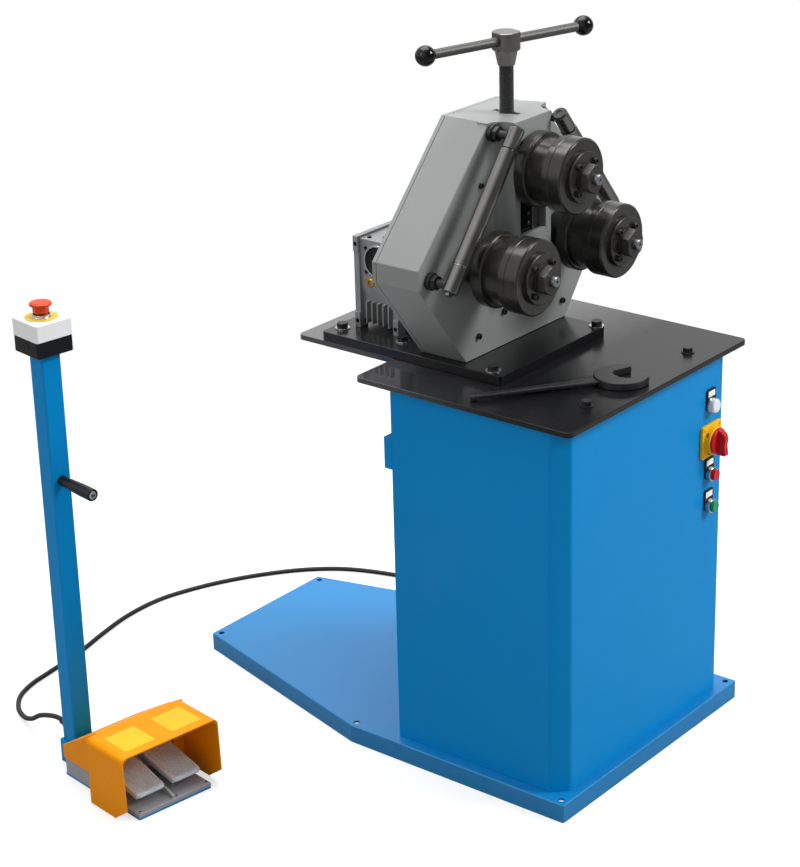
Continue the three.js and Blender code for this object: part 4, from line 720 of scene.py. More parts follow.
class RINGROLLER_OT_stage(bpy.types.Operator):
    """Pale floor, soft studio lights and a white surround"""

    bl_idname = "ring_roller.stage"
    bl_label = "Studio"

    white = (1, 1, 1, 1)
    reach = 24

    def execute(self, context):
        settings = context.scene.ring_roller_stage
        self.floor(settings)
        self.surround(context, settings)
        self.lamp("key", settings.key, (1.6, 1.6), (2.2, -3.5, 3.8), (0, 0, 0.7))
        self.lamp("top", settings.top, (3.2, 3.2), (0.4, 0.9, 4.4), (0, 0.1, 0.6))
        self.lamp("side", settings.side, (0.9, 2.6), (-4.2, 1.2, 3.2), (0, 0, 0.8))
        context.scene.view_settings.view_transform = "Standard"
        return {"FINISHED"}

    def paths(self, finish, mirrored):
        """One for rays that see plain white, a share of the glossy ones too, and the glossy ray"""
        kinds = ("Is Camera Ray", "Is Glossy Ray", "Is Transmission Ray")
        camera, glossy, through = finish.outputs("ShaderNodeLightPath", None, *kinds)
        return camera + through + glossy * mirrored, glossy

    def mix(self, finish, factor, first, second):
        return finish.add("ShaderNodeMixShader", None, {0: factor, 1: first, 2: second})

    def floor(self, settings):
        finish = Finish("floor")
        lit = settings.floor
        tone = finish.between(finish.noise(3), [lit * 0.98] * 3, [lit * 1.02] * 3)
        soft = finish.add("ShaderNodeBsdfDiffuse", None, {"Color": tone})
        caught = finish.add("ShaderNodeBsdfDiffuse", None, {"Color": (0.5, 0.5, 0.5, 1)})
        glow, white = (
            finish.add("ShaderNodeEmission", None, {"Color": self.white, "Strength": strength})
            for strength in (0.62, 1))
        near = finish.add("ShaderNodeAddShader", None, {0: caught, 1: glow})
        x, y, _ = finish.parts(finish.place())
        away = finish.rise((x * x + y * y) ** 0.5, 1.2, 2.4)
        plain, _ = self.paths(finish, 0.1)
        mixed = self.mix(finish, plain, soft, self.mix(finish, away, near, white))
        finish.add("ShaderNodeOutputMaterial", None, {0: mixed})
        mesh = bpy.data.meshes.new("studio_floor")
        rim = [(x * self.reach, y * self.reach, 0) for x, y in ((-1, -1), (1, -1), (1, 1), (-1, 1))]
        mesh.from_pydata(rim, [], [(0, 1, 2, 3)])
        mesh.materials.append(finish.material)
        shown("studio_floor", mesh)

    def surround(self, context, settings):
        world = bpy.data.worlds.new("surround")
        context.scene.world = world
        finish = Finish("surround", world)
        dim, white, dark = (
            finish.add("ShaderNodeBackground", None, {"Color": self.white, "Strength": strength})
            for strength in (settings.sky, 1, 0.05))
        toward = finish.add("ShaderNodeVectorMath", {"operation": "DOT_PRODUCT"}, {
            0: finish.add("ShaderNodeTexCoord"), 1: (0.28, -0.93, 0.24)}, output=1)
        shaded = finish.rise(toward, 0.1, 0.8) * settings.flag
        plain, glossy = self.paths(finish, 1)
        lit = self.mix(finish, plain, dim, white)
        mixed = self.mix(finish, shaded * glossy, lit, dark)
        finish.add("ShaderNodeOutputWorld", None, {0: mixed})

    def lamp(self, name, watts, size, place, target):
        data = bpy.data.lights.new(name, "AREA")
        data.energy = watts
        data.shape = "RECTANGLE"
        data.size, data.size_y = size
        aim = Vector(target) - Vector(place)
        turn = aim.to_track_quat("-Z", "Y").to_matrix().to_4x4()
        shown(name, data).matrix_world = at(*place) @ turn


class RINGROLLER_OT_finishes(bpy.types.Operator):
    """Paints, plastics and metals of the machine"""

    bl_idname = "ring_roller.finishes"
    bl_label = "Finishes"

    def execute(self, context):
        paint = context.scene.ring_roller_paints
        metal = context.scene.ring_roller_metals
        powder_coat("blue_paint", paint.blue, veil=0.12)
        # The tray is the cabinet's blue darkened to 0.8 as painted shade; its higher veil is its
        # specular level
        powder_coat("tray_paint", toned(paint.blue, 0.8), 0.4, veil=0.65)
        powder_coat("orange_paint", paint.orange, 0.3, 700, 0.1)
        cast_paint("grey_paint", paint.grey)
        cast_paint("motor_paint", paint.motor)
        # The table's black gets a full painted sheen toward the rear, the head plate's a slight one
        gloss_paint("black_paint", paint.black, 1)
        gloss_paint("plate_paint", paint.black, 0.15)
        turned_steel("roller_steel", metal.roller, 0.22, 0.25, 0.5)
        turned_steel("bar_steel", toned(metal.guide, 0.42), 0.5, 0.3, 0.7)
        turned_steel("turned_dark", metal.dark, 0.34, 0.4, 0.6)
        turned_steel("guide_steel", metal.guide, 0.24, 0.12, 0.95)
        turned_steel("bright_steel", metal.bright, 0.26, 0.4, 1)
        turned_steel("bronze", metal.bronze, 0.3, 0.4, 1)
        turned_steel("brass", metal.brass, 0.28, 0.3, 1)
        black_oxide("nut_steel", metal.nut, 0.4, 0.75)
        black_oxide("dark_steel", metal.dark)
        black_oxide("black_bolt", toned(metal.dark, 0.5), 0.4, 0.5)
        black_oxide("gear_steel", metal.gear, 0.36, 1)
        cast_metal("cast_aluminium", metal.aluminium, 0.55, 0.48, 420)
        cast_metal("pedal_grey", metal.pedal, 0.1, 0.48, 600)
        # A lighter copy of the pedal grey, painted light for treadles in the guard's shadow
        cast_metal("tread_grey", metal.tread, 0.1, 0.45, 600)
        moulded("knob_black", paint.dark_plastic, 0.16)
        moulded("black_plastic", paint.dark_plastic, 0.42)
        glosses = {"white": 0.36, "red": 0.34, "signal": 0.34, "green": 0.34, "yellow": 0.38,
                   "disc": 0.4}
        for name, gloss in glosses.items():
            moulded(name + "_plastic", getattr(paint, name), gloss)
        lens_plastic("clear_plastic", (0.88, 0.9, 0.93))
        cord_sheath("cord_rubber", paint.rubber)
        return {"FINISHED"}


class RINGROLLER_OT_cord(bpy.types.Operator):
    """Signal cord from the pedestal to the cabinet"""

    bl_idname = "ring_roller.cord"
    bl_label = "Signal cord"

    middle_at_rest = 5.3
    radius = 4.8

    def execute(self, context):
        start, leave = (PEDESTAL @ Vector((0, out, 66)) for out in (36.3, 66.3))
        low = self.middle_at_rest
        route = [
            (-624, 780, 44), (-615, 818, 20), (-604, 852, 8), (-584, 890, low), (-548, 924, low),
            (-500, 943, low), (-448, 951, low), (-354, 964, low), (-255, 988, low),
            (-168, 1004, low), (-74, 1003, low), (15, 977, low), (88, 943, low), (157, 900, low),
            (222, 846, low), (275, 778, low), (310, 692, low), (332, 596, low), (348, 496, low),
            (361, 396, low), (371, 300, low), (376, 236, 6.4), (377, 196, 12), (373, 162, 28),
            (361, 136, 56), (342, 123, 84), (313.3, 120, 96), (283.3, 120, 96),
        ]
        points = [spot * MM for spot in smooth_path([start, leave, *route], 8)]
        curve = bpy.data.curves.new("signal_cord_sheath", "CURVE")
        curve.dimensions = "3D"
        curve.bevel_depth = self.radius * MM
        curve.bevel_resolution = 5
        curve.use_fill_caps = True
        line = curve.splines.new("POLY")
        line.points.add(len(points) - 1)
        for spot, place in zip(line.points, points):
            spot.co = (*place, 1)
        line.use_smooth = True
        cord = shown("signal_cord_sheath", curve)
        fit(cord, "machine", "cord_rubber", ["signal_cord"])
        whole = sum((b - a).length for a, b in zip(points, points[1:]))
        return {"FINISHED"}


class RINGROLLER_OT_stand(bpy.types.Operator):
    """Folded base tray, cabinet, rear door and latch"""

    bl_idname = "ring_roller.stand"
    bl_label = "Stand"

    def execute(self, context):
        rim = [(-290, -205), (290, -205), (290, 286), (165, 761), (-165, 761), (-290, 286)]
        holes = [circle(6, 28, x, y) for x, y in inset(rim, 15)]
        skin = rounded(rim, 3, 3)
        base = Form()
        base.prism(skin, 32, 36, 2.4, holes=holes, ease_low=0)
        base.prism(skin, 0, 32, holes=[rounded(inset(rim, 4), 2, 3)])
        base.prism(box_outline(-286, -20, 286, 20), 0, 32)
        base.prism(box_outline(-20, -201, 20, 757), 0, 31.9)
        base.close("base_tray", "tray_paint", "base_frame")
        softened("cabinet_shell", "blue_paint", (4, 200, 30, 60), (0.6, 80, 60, 120))
        softened("cabinet_door", "blue_paint", (0.6, 60, 60, 120))
        latch = Form()
        latch.prism(box_outline(-266.5, 580, -232, 636, 4), -204.2, -190, 2, facing_front())
        latch.disc(9, 0, 2.4, 0.6, 32, facing_rear(-250, 201, 608))
        latch.close("door_latch", "black_plastic", body="door", slot="blue_paint")
        return {"FINISHED"}


class RINGROLLER_OT_table(bpy.types.Operator):
    """Table top, head plate and their bolts"""

    bl_idname = "ring_roller.table"
    bl_label = "Table"

    def execute(self, context):
        rim = [(-282, -211), (282, -211), (282, 255), (172, 255),
               (172, 484), (-172, 484), (-172, 255), (-282, 255)]
        rim = rounded(rim, [12, 12, 12, 4, 12, 12, 4, 12])
        Form().prism(rim, 736, TABLE_TOP, 1.1).close("table_plate", "black_paint", "table_top")
        rim = box_outline(-172, 13, 152, 425, 8)
        Form().prism(rim, TABLE_TOP, PLATE_TOP, 1.4).close(
            "head_plate", "plate_paint", "head_base_plate")
        bolts, washers = Form(), Form()
        for x, y in ((140, 25), (-155, 42), (-128, 267), (-137, 403), (134, 403)):
            washers.disc(14, 0, 2, 0.5, 40, at(x, y, PLATE_TOP))
            bolts.hexagon(19, 2, 11, at(x, y, PLATE_TOP), chamfer=2)
        for x in (-160, 160):
            bolts.disc(12, 0, 2, 0.4, 36, at(x, -160, TABLE_TOP))
            bolts.hexagon(17, 2, 10, at(x, -160, TABLE_TOP), chamfer=1.76)
        washers.close("plate_washers", "bright_steel")
        bolts.close("plate_bolts", "black_bolt")
        return {"FINISHED"}


class RINGROLLER_OT_head(bpy.types.Operator):
    """Octagonal roller head, its slide and bearings"""

    bl_idname = "ring_roller.head"
    bl_label = "Roller head"

    def execute(self, context):
        softened("head_casing", "grey_paint", (2.2, 76, 30, 130), (2.2, 30, 50, 130))
        softened("head_rear_cover", "grey_paint", (0.7, 40, 30, 130))
        rim = [(62, 98), (69.5, 99.8), (92, 104.4), (92, 110), (79, 152), (62, 152)]
        Form().prism(rim, 1171.4, 1184.1, 0.1, ease_low=0).close("casing_ear", "grey_paint")
        softened("slide_block", "dark_steel", (1.2, 30, 30, 130))
        screws = Form()
        for x, z in ((-40, 829), (-116, 804), (140, 799)):
            screws.cap_screw(11, 6, facing_front(x, CASTING_FACE, z))
        screws.cap_screw(10, 5, facing_front(-104, CASTING_FACE, 1078))
        screws.close("face_screws", "black_bolt")
        for side in ("left", "right"):
            x, z = ROLLER_AXES[side]
            Form(facing_rear(x, 0, z)).turned([
                (18.3, 62.6), (31, 62.6), (35, 66.6), (35, 104), (26, 104), (26, 124), (18.3, 124),
            ], 0.8, closed=True).close(
                f"{side}_bearing_housing", "turned_dark", f"{side}_bearing")
        # The matt black plate beside the gib darkens the slide's window recess as painted shade
        gib, plate = Form(), Form()
        gib.prism(box_outline(9, 972, 12, 1056, 0.6), -78.6, -74.6, 0.5, facing_front())
        plate.prism(box_outline(-30, 970, 8.4, 1058, 1), -78.6, -77.4, 0.4, facing_front())
        for z in (989, 1007, 1034):
            gib.cap_screw(6, 1.6, facing_front(0.6, 77.4, z))
        gib.close("slide_gib", "gear_steel", body="slide", slot="bright_steel")
        plate.close("slide_gib_plate", "knob_black", body="slide")
        return {"FINISHED"}


class RINGROLLER_OT_rollers(bpy.types.Operator):
    """Three roller stacks with flanges, nuts and shaft ends"""

    bl_idname = "ring_roller.rollers"
    bl_label = "Roller stacks"

    bore = 15.3
    flange_face = -46
    ring_face = -38
    steps = 112

    def execute(self, context):
        for side, (x, z) in ROLLER_AXES.items():
            self.stack(side, facing_rear(x, 0, z), context.scene.ring_roller_rollers)
        return {"FINISHED"}

    def stack(self, side, where, sizes):
        body = side + "_roller"
        bore, face, ring = self.bore, self.flange_face, self.ring_face
        radius, spacer, flange, tip = (size / 2 / MM for size in (
            sizes.diameter, sizes.spacer, sizes.flange, sizes.tip))
        edge, groove, flats = (size / MM for size in (sizes.edge, sizes.groove, sizes.nut_flats))
        # A thin ring of lighter polished steel on the front rolling edge, laid there as a painted
        # highlight
        Form(where).turned([
            (radius - edge - 0.4, ring - 0.12), (radius + 0.08, ring + edge + 0.4),
            (radius - 0.7, ring + edge + 0.4), (radius - edge - 0.4, ring + 0.7),
        ], 0, self.steps, closed=True).close(
            f"{side}_rolling_edge", "guide_steel", body=body)
        screws = Form(where)
        for angle in (TURN * (i + 0.5) / 4 for i in range(4)):
            screws.cap_screw(11, 7, facing_down(35 * math.cos(angle), 35 * math.sin(angle), face))
        screws.close(f"{side}_flange_screws", "black_bolt", body=body)
        Form(where).turned([
            (bore, face), (flange - 1.2, face), (flange, face + 1.2), (flange, ring),
            (radius - edge, ring), (radius, ring + edge), (radius, -11.8), (radius - groove, -11.4),
            (radius - groove, -10.6), (radius, -10.2), (radius, 2.2), (radius - 0.8, 3), (bore, 3),
        ], 0.7, self.steps, closed=True).close(
            f"{side}_front_ring", "roller_steel", f"{side}_front_roller", body=body)
        Form(where).turned([
            (bore, 3), (spacer, 3), (spacer, 38), (radius - edge, 38), (radius, 38 + edge),
            (radius, 59.4), (radius - 2, 61.4), (bore, 61.4),
        ], 0.9, self.steps, closed=True).close(
            f"{side}_rear_ring", "roller_steel", f"{side}_rear_roller", body=body)
        nut = Form(where)
        nut.hexagon(flats, -67, -49, bore=10.2, chamfer=3)
        nut.disc(flats / math.sqrt(3), -49, face, 0.5, bore=10.2)
        nut.close(f"{side}_nut", "nut_steel", f"{side}_shaft_nut", body=body)
        tip += 0.05
        Form(where).turned([
            (0, -71.5), (1.4, -72), (3.4, -76.2), (tip - 1.6, -76.2), (tip, -74.6), (tip, -60),
            (0, -60),
        ], 0.25, 48).close(f"{side}_shaft_end", "gear_steel", body=body, slot="dark_steel")


class RINGROLLER_OT_screw(bpy.types.Operator):
    """Adjusting screw with its cross bar and ball knobs"""

    bl_idname = "ring_roller.screw"
    bl_label = "Adjusting screw"

    rows = 8
    low = 1138
    high = 1270
    bar_height = 1311
    bar_angle = -15.3

    def execute(self, context):
        sizes = context.scene.ring_roller_screw
        self.spindle(sizes)
        self.hub(sizes.hub / 2 / MM)
        self.bar(*(size / 2 / MM for size in (sizes.bar_length, sizes.knob, sizes.bar)))
        return {"FINISHED"}

    def spindle(self, sizes):
        radius, pitch, depth = (v / MM for v in (sizes.diameter / 2, sizes.pitch, sizes.depth))

        def thread(height):
            def reach(angle):
                phase = (height / pitch - angle / TURN) % 1
                tooth = max(0, min(1, 2 - abs(phase - 0.5) * 6))
                return radius - depth * (1 - tooth)

            return reach

        count = int((self.high - self.low) / pitch * self.rows)
        levels = [self.low + i * pitch / self.rows for i in range(count + 1)]
        Form(at(0, SCREW_AXIS, 0)).turned([
            (0, 1113), (14, 1113), (14, 1122), (9, 1122), (9, 1133.4), (radius - depth, self.low),
            *((thread(level), level) for level in levels), (radius, self.high), (0, self.high),
        ], 0, 48).close("screw_spindle", "turned_dark", "adjusting_screw", body="screw", sharp=40)

    def hub(self, radius):
        def flatted(shrink=0):
            def reach(angle):
                across = abs(math.cos(angle - math.radians(self.bar_angle)))
                flat = radius * 0.88 / across if across > 1e-6 else radius
                return min(radius, flat) - shrink

            return reach

        high = self.high
        Form(at(0, SCREW_AXIS, 0)).turned([
            (0, high - 2), (14.8, high - 2), (15.2, high - 1.6), (15.2, high + 0.4),
            (15.8, high + 1), (20.2, 1293), (20.4, 1294.6), (23.4, 1294.6), (24.4, 1295.4),
            (flatted(), 1296.4), (flatted(), 1325), (flatted(0.5), 1326.4), (flatted(1.6), 1327),
            (0, 1327),
        ], 0, 96).close("screw_hub", "guide_steel", body="screw", sharp=25)

    def bar(self, half, knob, rod):
        place = at(0, SCREW_AXIS, self.bar_height) @ spun(self.bar_angle) @ facing_right()
        Form(place).disc(rod, -half, half, steps=32).close(
            "cross_bar", "bar_steel", "handle_bar", body="screw", sharp=40)
        angles = [math.pi * i / 24 for i in range(25)]
        ball = [(knob * math.sin(angle), half - knob * math.cos(angle)) for angle in angles]
        ball = [spot for spot in ball[:-1] if spot[0] > rod + 1.5 or spot[1] > half]
        start = ball[0][1] - 1.2
        ball = [(0, start), (rod + 1.4, start), *ball, (0, half + knob)]
        knobs = Form(place)
        knobs.turned([(across, -along) for across, along in reversed(ball)], 0, 48)
        knobs.turned(ball, 0, 48)
        knobs.close("ball_knobs", "knob_black", body="screw", sharp=40)


class RINGROLLER_OT_guides(bpy.types.Operator):
    """Sloping side guides with their posts and turning tubes"""

    bl_idname = "ring_roller.guides"
    bl_label = "Side guides"

    upper = (72, 1165.5)
    lower = (251.5, 944.5)

    def execute(self, context):
        for side, sign in (("left", -1), ("right", 1)):
            self.guide(side, sign)
        return {"FINISHED"}

    def guide(self, side, sign):
        (near, high), (far, low) = self.upper, self.lower
        end = -math.hypot(far - near, high - low)
        angle = math.degrees(math.atan2(far - near, high - low))
        slope = at(sign * near, 54, high) @ spun(-sign * angle, "Y")
        Form(slope).turned([
            (0, 13.6), (13.4, 13.6), (13.4, 15), (11.6, 17), (5.5, 17), (5.5, 15.4), (0, 15.4),
        ], 0.6, 56).close(f"{side}_guide_plug", "black_bolt")
        top = Form(slope)
        top.turned([(0, -12), (7, -12), (7, -25), (14, -25), (14, 14), (0, 14)], 0.8, 56)
        top.disc(7, end + 20, -20, steps=32)
        top.close(f"{side}_top_mount", "guide_steel", f"{side}_upper_post")
        foot = Form(slope)
        foot.turned([
            (7.3, end + 35.6), (14, end + 35.6), (14, end - 12), (12.5, end - 13), (7.3, end - 13),
        ], 0.8, 56, closed=True)
        foot.hexagon(12, end - 18.6, end - 13, chamfer=0.8)
        foot.close(f"{side}_low_mount", "guide_steel", f"{side}_lower_post")
        Form(slope).disc(15, end + 37.4, -26.8, 1.1, 56, bore=7.4).close(
            f"{side}_tube", "guide_steel", f"{side}_guide_sleeve", body=f"{side}_sleeve")
        Form(slope).disc(14.6, end + 35.7, end + 37, 0.3, 56, bore=7.3).close(
            f"{side}_seam_ring", "bright_steel")
        seats = Form()
        for x, z in (self.upper, self.lower):
            place = facing_front(sign * x, CASTING_FACE, z)
            seats.disc(15.5, 0, 9.5, 1, 48, place)
            seats.hexagon(24, 9.5, 18.5, place, chamfer=1.6)
            seats.turned([(0, 8), (7.5, 8), (7.5, 46), (0, 50)], 0.6, 32, place)
        seats.close(f"{side}_guide_nuts", "black_bolt")


class RINGROLLER_OT_drive(bpy.types.Operator):
    """Worm gearbox with its fins and plugs, and the motor"""

    bl_idname = "ring_roller.drive"
    bl_label = "Gearbox and motor"

    def execute(self, context):
        softened("gearbox_housing", "cast_aluminium", (1, 9, 30, 130))
        left = MOTOR @ spun(180, "X")
        # Flat black discs on the housing's faces stand for its bolt holes: painted shade
        holes = Form(left)
        for y, z in ((-27, 23), (27, 23), (-27, -23), (27, -23)):
            holes.turned([(0, 107), (4.2, 107), (4.2, 108), (3.2, 108.3), (0, 108.1)],
                         0, 24, at(-z, -y, 0))
        for y, z in ((-45, -118), (-45, 30), (45, -118), (45, 30)):
            holes.turned([(0, 115), (4.2, 115), (4.2, 116.1), (3.4, 116.2), (0, 116.15)],
                         0, 24, at(-z, -y, 0))
        holes.close("gearbox_holes", "knob_black")
        Form(left).turned([
            (28.6, 104), (28.6, 109), (31.6, 109), (32.6, 107.6), (32.6, 104),
        ], 0.5, closed=True).close("worm_cap_rim", "bright_steel")
        Form(left).turned([
            (0, 103.6), (9, 103.6), (10, 104.6), (24, 104.6), (26, 106), (28.7, 106), (28.7, 103),
        ], 0.4).close("worm_cap", "black_plastic")
        plug, place = Form(left), at(42, -18, 0)
        plug.turned([
            (8.6, 107), (8.6, 109.6), (7.4, 110.4), (hexed(8), 110.4), (hexed(8), 106.4), (0, 106),
        ], 0.3, 48, place)
        plug.disc(9.8, 107, 108.6, 0.3, 40, place, bore=8.6)
        plug.close("oil_plug", "brass")
        lid = Form()
        for x, y in ((-96, 312), (-96, 366), (16, 312), (16, 366)):
            lid.cap_screw(8, 3, at(x, y, 935))
        lid.prism(box_outline(-84, 330, -62, 348, 4), 934.6, 935.4, 0.2)
        lid.close("gearbox_lid_screws", "black_bolt")
        self.motor()
        return {"FINISHED"}

    def motor(self):
        def finned(angle):
            gap = abs((angle * 20 / TURN) % 1 - 0.5) * 2
            return 61 + 9 * max(0, min(1, (gap - 0.62) * 6))

        motor = Form(MOTOR)
        motor.turned([(0, 50), (80, 50), (80, 62), (62, 62)], 1.2, 96)
        motor.turned([(60, 56), (finned, 63), (finned, 192), (60, 192)], 0, 320)
        motor.disc(61, 191, 192)
        box, upright = box_outline(87, 299, 167, 379, 8), MOTOR.inverted()
        motor.prism(box, 953, 990, 2, upright)
        motor.prism(inset(box, -1.5), 990.6, 995, 1.4, upright)
        motor.close("motor_barrel", "motor_paint", "motor_body")
        cover = Form(MOTOR)
        cover.turned([
            (0, 192), (78, 192), (78, 234), (50, 248), (46, 248), (46, 244), (0, 244),
        ], 3, 96, rounds=4)
        for i in range(6):
            cover.prism(box_outline(12, -2, 46, 2, 1), 243, 247.6, 0.6, spun(60 * i))
        cover.disc(12, 243, 247.8, 0.8, 32)
        cover.close("fan_cover", "motor_paint", "motor_fan_cover")


class RINGROLLER_OT_controls(bpy.types.Operator):
    """Lamp, push buttons and rotary switch on the cabinet front"""

    bl_idname = "ring_roller.controls"
    bl_label = "Controls"

    column = 199
    face = -186
    cap_face = -189
    levels = {"lamp": 638, "red": 502, "green": 438}
    rotary_level = 570

    def execute(self, context):
        self.legend("lamp", "indicator_lamp", 4.6)
        self.legend("red", "red_button_body", 12)
        self.legend("green", "green_button_body", 12)
        Form(facing_front(self.column, self.cap_face, self.levels["lamp"])).turned([
            (0, 2), (13.4, 2), (13.4, 10.4), (11.6, 12.6), (11.4, 12.2), (0, 13.8),
        ], 0.9, rounds=4).close("lamp_lens", "clear_plastic")
        for name in ("red", "green"):
            Form(facing_front(self.column, self.cap_face, self.levels[name])).turned([
                (0, -25), (6, -25), (6, 8.7), (10.5, 8.7), (10.5, 15.2), (9.6, 16), (7.5, 15.2),
                (0, 15.2),
            ], 0.5, 48).close(
                f"{name}_cap", f"{name}_plastic", f"{name}_button", body=f"{name}_push")
        self.rotary()
        return {"FINISHED"}

    def legend(self, name, node, reach):
        place = facing_front(self.column, self.face, self.levels[name])
        unit = Form(place)
        unit.prism(rounded([(-15, -10), (15, -10), (15, 32), (-15, 32)], [8, 8, 5, 5]), 0, 3, 0.6)
        unit.disc(10.7, -3, 3, 0.3, 40)
        unit.disc(13, -41, -3, 0.8, 40)
        unit.close(f"{name}_unit", "black_plastic", node)
        Form(place).turned([
            (10.9, 3), (14, 3), (14, reach - 1), (13, reach), (10.9, reach),
        ], 0.5, 56, closed=True).close(f"{name}_bezel", "bright_steel")
        Form(place).prism(box_outline(-11, 17, 11, 28, 1), 2.6, 3.4, 0.2).close(
            f"{name}_card", "white_plastic")

    def rotary(self):
        place = facing_front(self.column, self.face, self.rotary_level)
        plate = Form(place)
        plate.prism(box_outline(-32, -32, 32, 32, 5), 0, 6, 1.2)
        plate.turned([(0, 6), (28.4, 6), (27.4, 15.8), (26.2, 17), (0, 17)], 0.8, 72)
        plate.disc(10.7, -41, 1, steps=40)
        for x, y in corners(26, 26):
            plate.disc(3, 6, 7.2, 0.3, 20, at(x, y, 0))
        plate.close("rotary_plate", "yellow_plastic", "switch_plate")
        knob = Form(place)
        knob.disc(5, -20, 18, steps=32)
        knob.turned([(0, 17.3), (25, 17.3), (25, 21), (22, 23), (0, 23)], 1, 72)
        fan = [(-21, 24), (-29, 23), (-37, 17), (-38.8, 6), (-37, -4), (-39.4, -22), (-38, -24.4),
               (-21, -24)]
        knob.prism(rounded(fan, [1, 8, 9, 10, 9, 2, 2, 1], 5), -8, 5, 2, spun(90, "Y"))
        knob.close("rotary_knob", "red_plastic", "switch_knob", body="main_switch")
        slots = Form(place)
        for turn in (0.9, 2.5, 4.1, 5.6):
            around = Matrix.Rotation(turn, 4, "Z")
            slots.prism(box_outline(23.6, -4, 28.4, 4, 0.5), 9, 12, 0.2, around)
        slots.close("collar_slots", "black_plastic")


class RINGROLLER_OT_pedestal(bpy.types.Operator):
    """Post, stop box and grip"""

    bl_idname = "ring_roller.pedestal"
    bl_label = "Pedestal"

    box_low = 822
    box_joint = 852
    box_top = 884

    def execute(self, context):
        low, joint, high = self.box_low, self.box_joint, self.box_top
        rim = box_outline(-20, -20, 20, 20, 4)
        Form(PEDESTAL).prism(rim, 4.3, low, holes=[inset(rim, 2.5)]).close(
            "square_post", "blue_paint", "post")
        softened("foot_plate", "blue_paint", (0.8, 20, 60, 120))
        rim = box_outline(-38, -38, 38, 38, 5)
        Form(PEDESTAL).prism(inset(rim, 0.8), low, joint, 1.5).close(
            "box_tub", "black_plastic", "stop_box_base")
        lid = Form(PEDESTAL)
        lid.prism(rim, joint, high, 2.2, ease_low=0.4)
        head = [(0, -0.4), (3.6, -0.4), (3.6, 0.3), (2, 0.3), (2, -0.2), (0, -0.2)]
        for x, y in corners(30, 30):
            lid.turned(head, 0.2, 24, at(x, y, high))
        lid.close("box_lid", "white_plastic", "stop_box_lid")
        Form(PEDESTAL).disc(30, high - 0.2, high + 1.4, 0.5, 72).close(
            "stop_disc", "disc_plastic")
        Form(PEDESTAL).turned([
            (15, 884), (18.4, 884), (18.4, 886), (16.8, 887), (16.8, 890.6), (15, 890.6),
        ], 0.5, closed=True).close("stop_collar", "bright_steel")
        knockout = Form(PEDESTAL)
        for place in (facing_right(37.2, 0, 838), at(-37.2, 0, 838) @ spun(-90, "Y")):
            knockout.turned([
                (0, -0.4), (8, -0.4), (8, 0.5), (6.6, 0.5), (6.2, 0.1), (0, 0.1),
            ], 0.2, 40, place)
        knockout.close("box_knockouts", "black_plastic")
        Form(PEDESTAL).turned([
            (0, 861.3), (8.5, 861.3), (8.5, 893), (14, 893), (14.4, 894), (14.6, 902),
            (17.4, 905), (19.8, 906.2), (20, 908.8), (18.8, 910.6), (14, 911.8), (0, 912),
        ], 1.2, rounds=4).close("mushroom", "signal_plastic", "stop_button", body="stop_push")
        Form(GRIP).turned([
            (5.3, 20.3), (9.5, 20.3), (9.5, 24.6), (9.1, 26), (10.2, 50), (11.5, 84),
            (11.5, 113.8), (10.4, 116), (8.2, 116), (8, 108), (5.3, 108),
        ], 1, 48, closed=True).close("grip_sleeve", "black_plastic", "post_grip", body="grip")
        Form(GRIP).turned([
            (0, 10), (8, 10), (8, 17.2), (4.7, 17.2), (4.7, 108.3), (7.6, 108.3), (7.6, 115.4),
            (6.8, 115.8), (hexed(8), 115.8), (hexed(8), 111), (0, 110.6),
        ], 0.3, 48).close("grip_bolt", "bright_steel", "grip_screw")
        return {"FINISHED"}


class RINGROLLER_OT_foot_switch(bpy.types.Operator):
    """Cast foot switch, ribbed treadles and folded guard"""

    bl_idname = "ring_roller.foot_switch"
    bl_label = "Foot switch"

    def execute(self, context):
        softened("foot_switch_base", "pedal_grey", (0.8, 14, 40, 130))
        softened("pedal_guard", "orange_paint", (0.9, 16, 40, 130))
        self.treadle("left", -7.5)
        self.treadle("right", 73.5)
        plates = Form(PEDESTAL)
        for x in (-19, 85):
            plates.prism(box_outline(x - 33, -232, x + 33, -166, 3), 133.8, 134.3, 0.2)
        plates.close("guard_plates", "yellow_plastic")
        screws = Form(PEDESTAL)
        for x in (-42, 27, 39, 108):
            screws.cap_screw(6, 2.4, at(x, -249, 12))
        screws.close("deck_screws", "bright_steel")
        return {"FINISHED"}

    def treadle(self, side, middle):
        run, fall, half, ribs = 99, 22, 31, 13
        length = math.hypot(run, fall)
        tilt = at(middle, -240, 40) @ Matrix.Rotation(math.atan2(fall, run), 4, "X")
        tread = Form(PEDESTAL)
        plate = rounded([(-half, 0), (half, 0), (half, length), (-half, length)], [7, 7, 2, 2])
        tread.prism(plate, -7, 0, 1.2, tilt)
        for i in range(ribs):
            x = -27 + 4.5 * i
            trim = 4 if 0 < i < ribs - 1 else 8
            tread.prism(box_outline(x - 1.2, trim, x + 1.2, 92 - trim, 1.1), -0.3, 1.9, 0.8, tilt)
        lip = [(-62, -143), (-55.6, -143), (-55.6, -121), (-62, -121)]
        tread.prism(lip, middle - half, middle + half, 0.8, facing_right())
        cheek = [(-27, -228), (-40, -141), (-40, -121), (-58.5, -121), (-58.5, -141), (-36.5, -228)]
        for x in (middle - 27, middle + 22):
            tread.prism(cheek, x, x + 5, 0.6, facing_right(), [circle(5.3, 24, -50, -131)])
        tread.close(f"{side}_tread", "tread_grey", f"{side}_treadle", body=f"{side}_pedal")


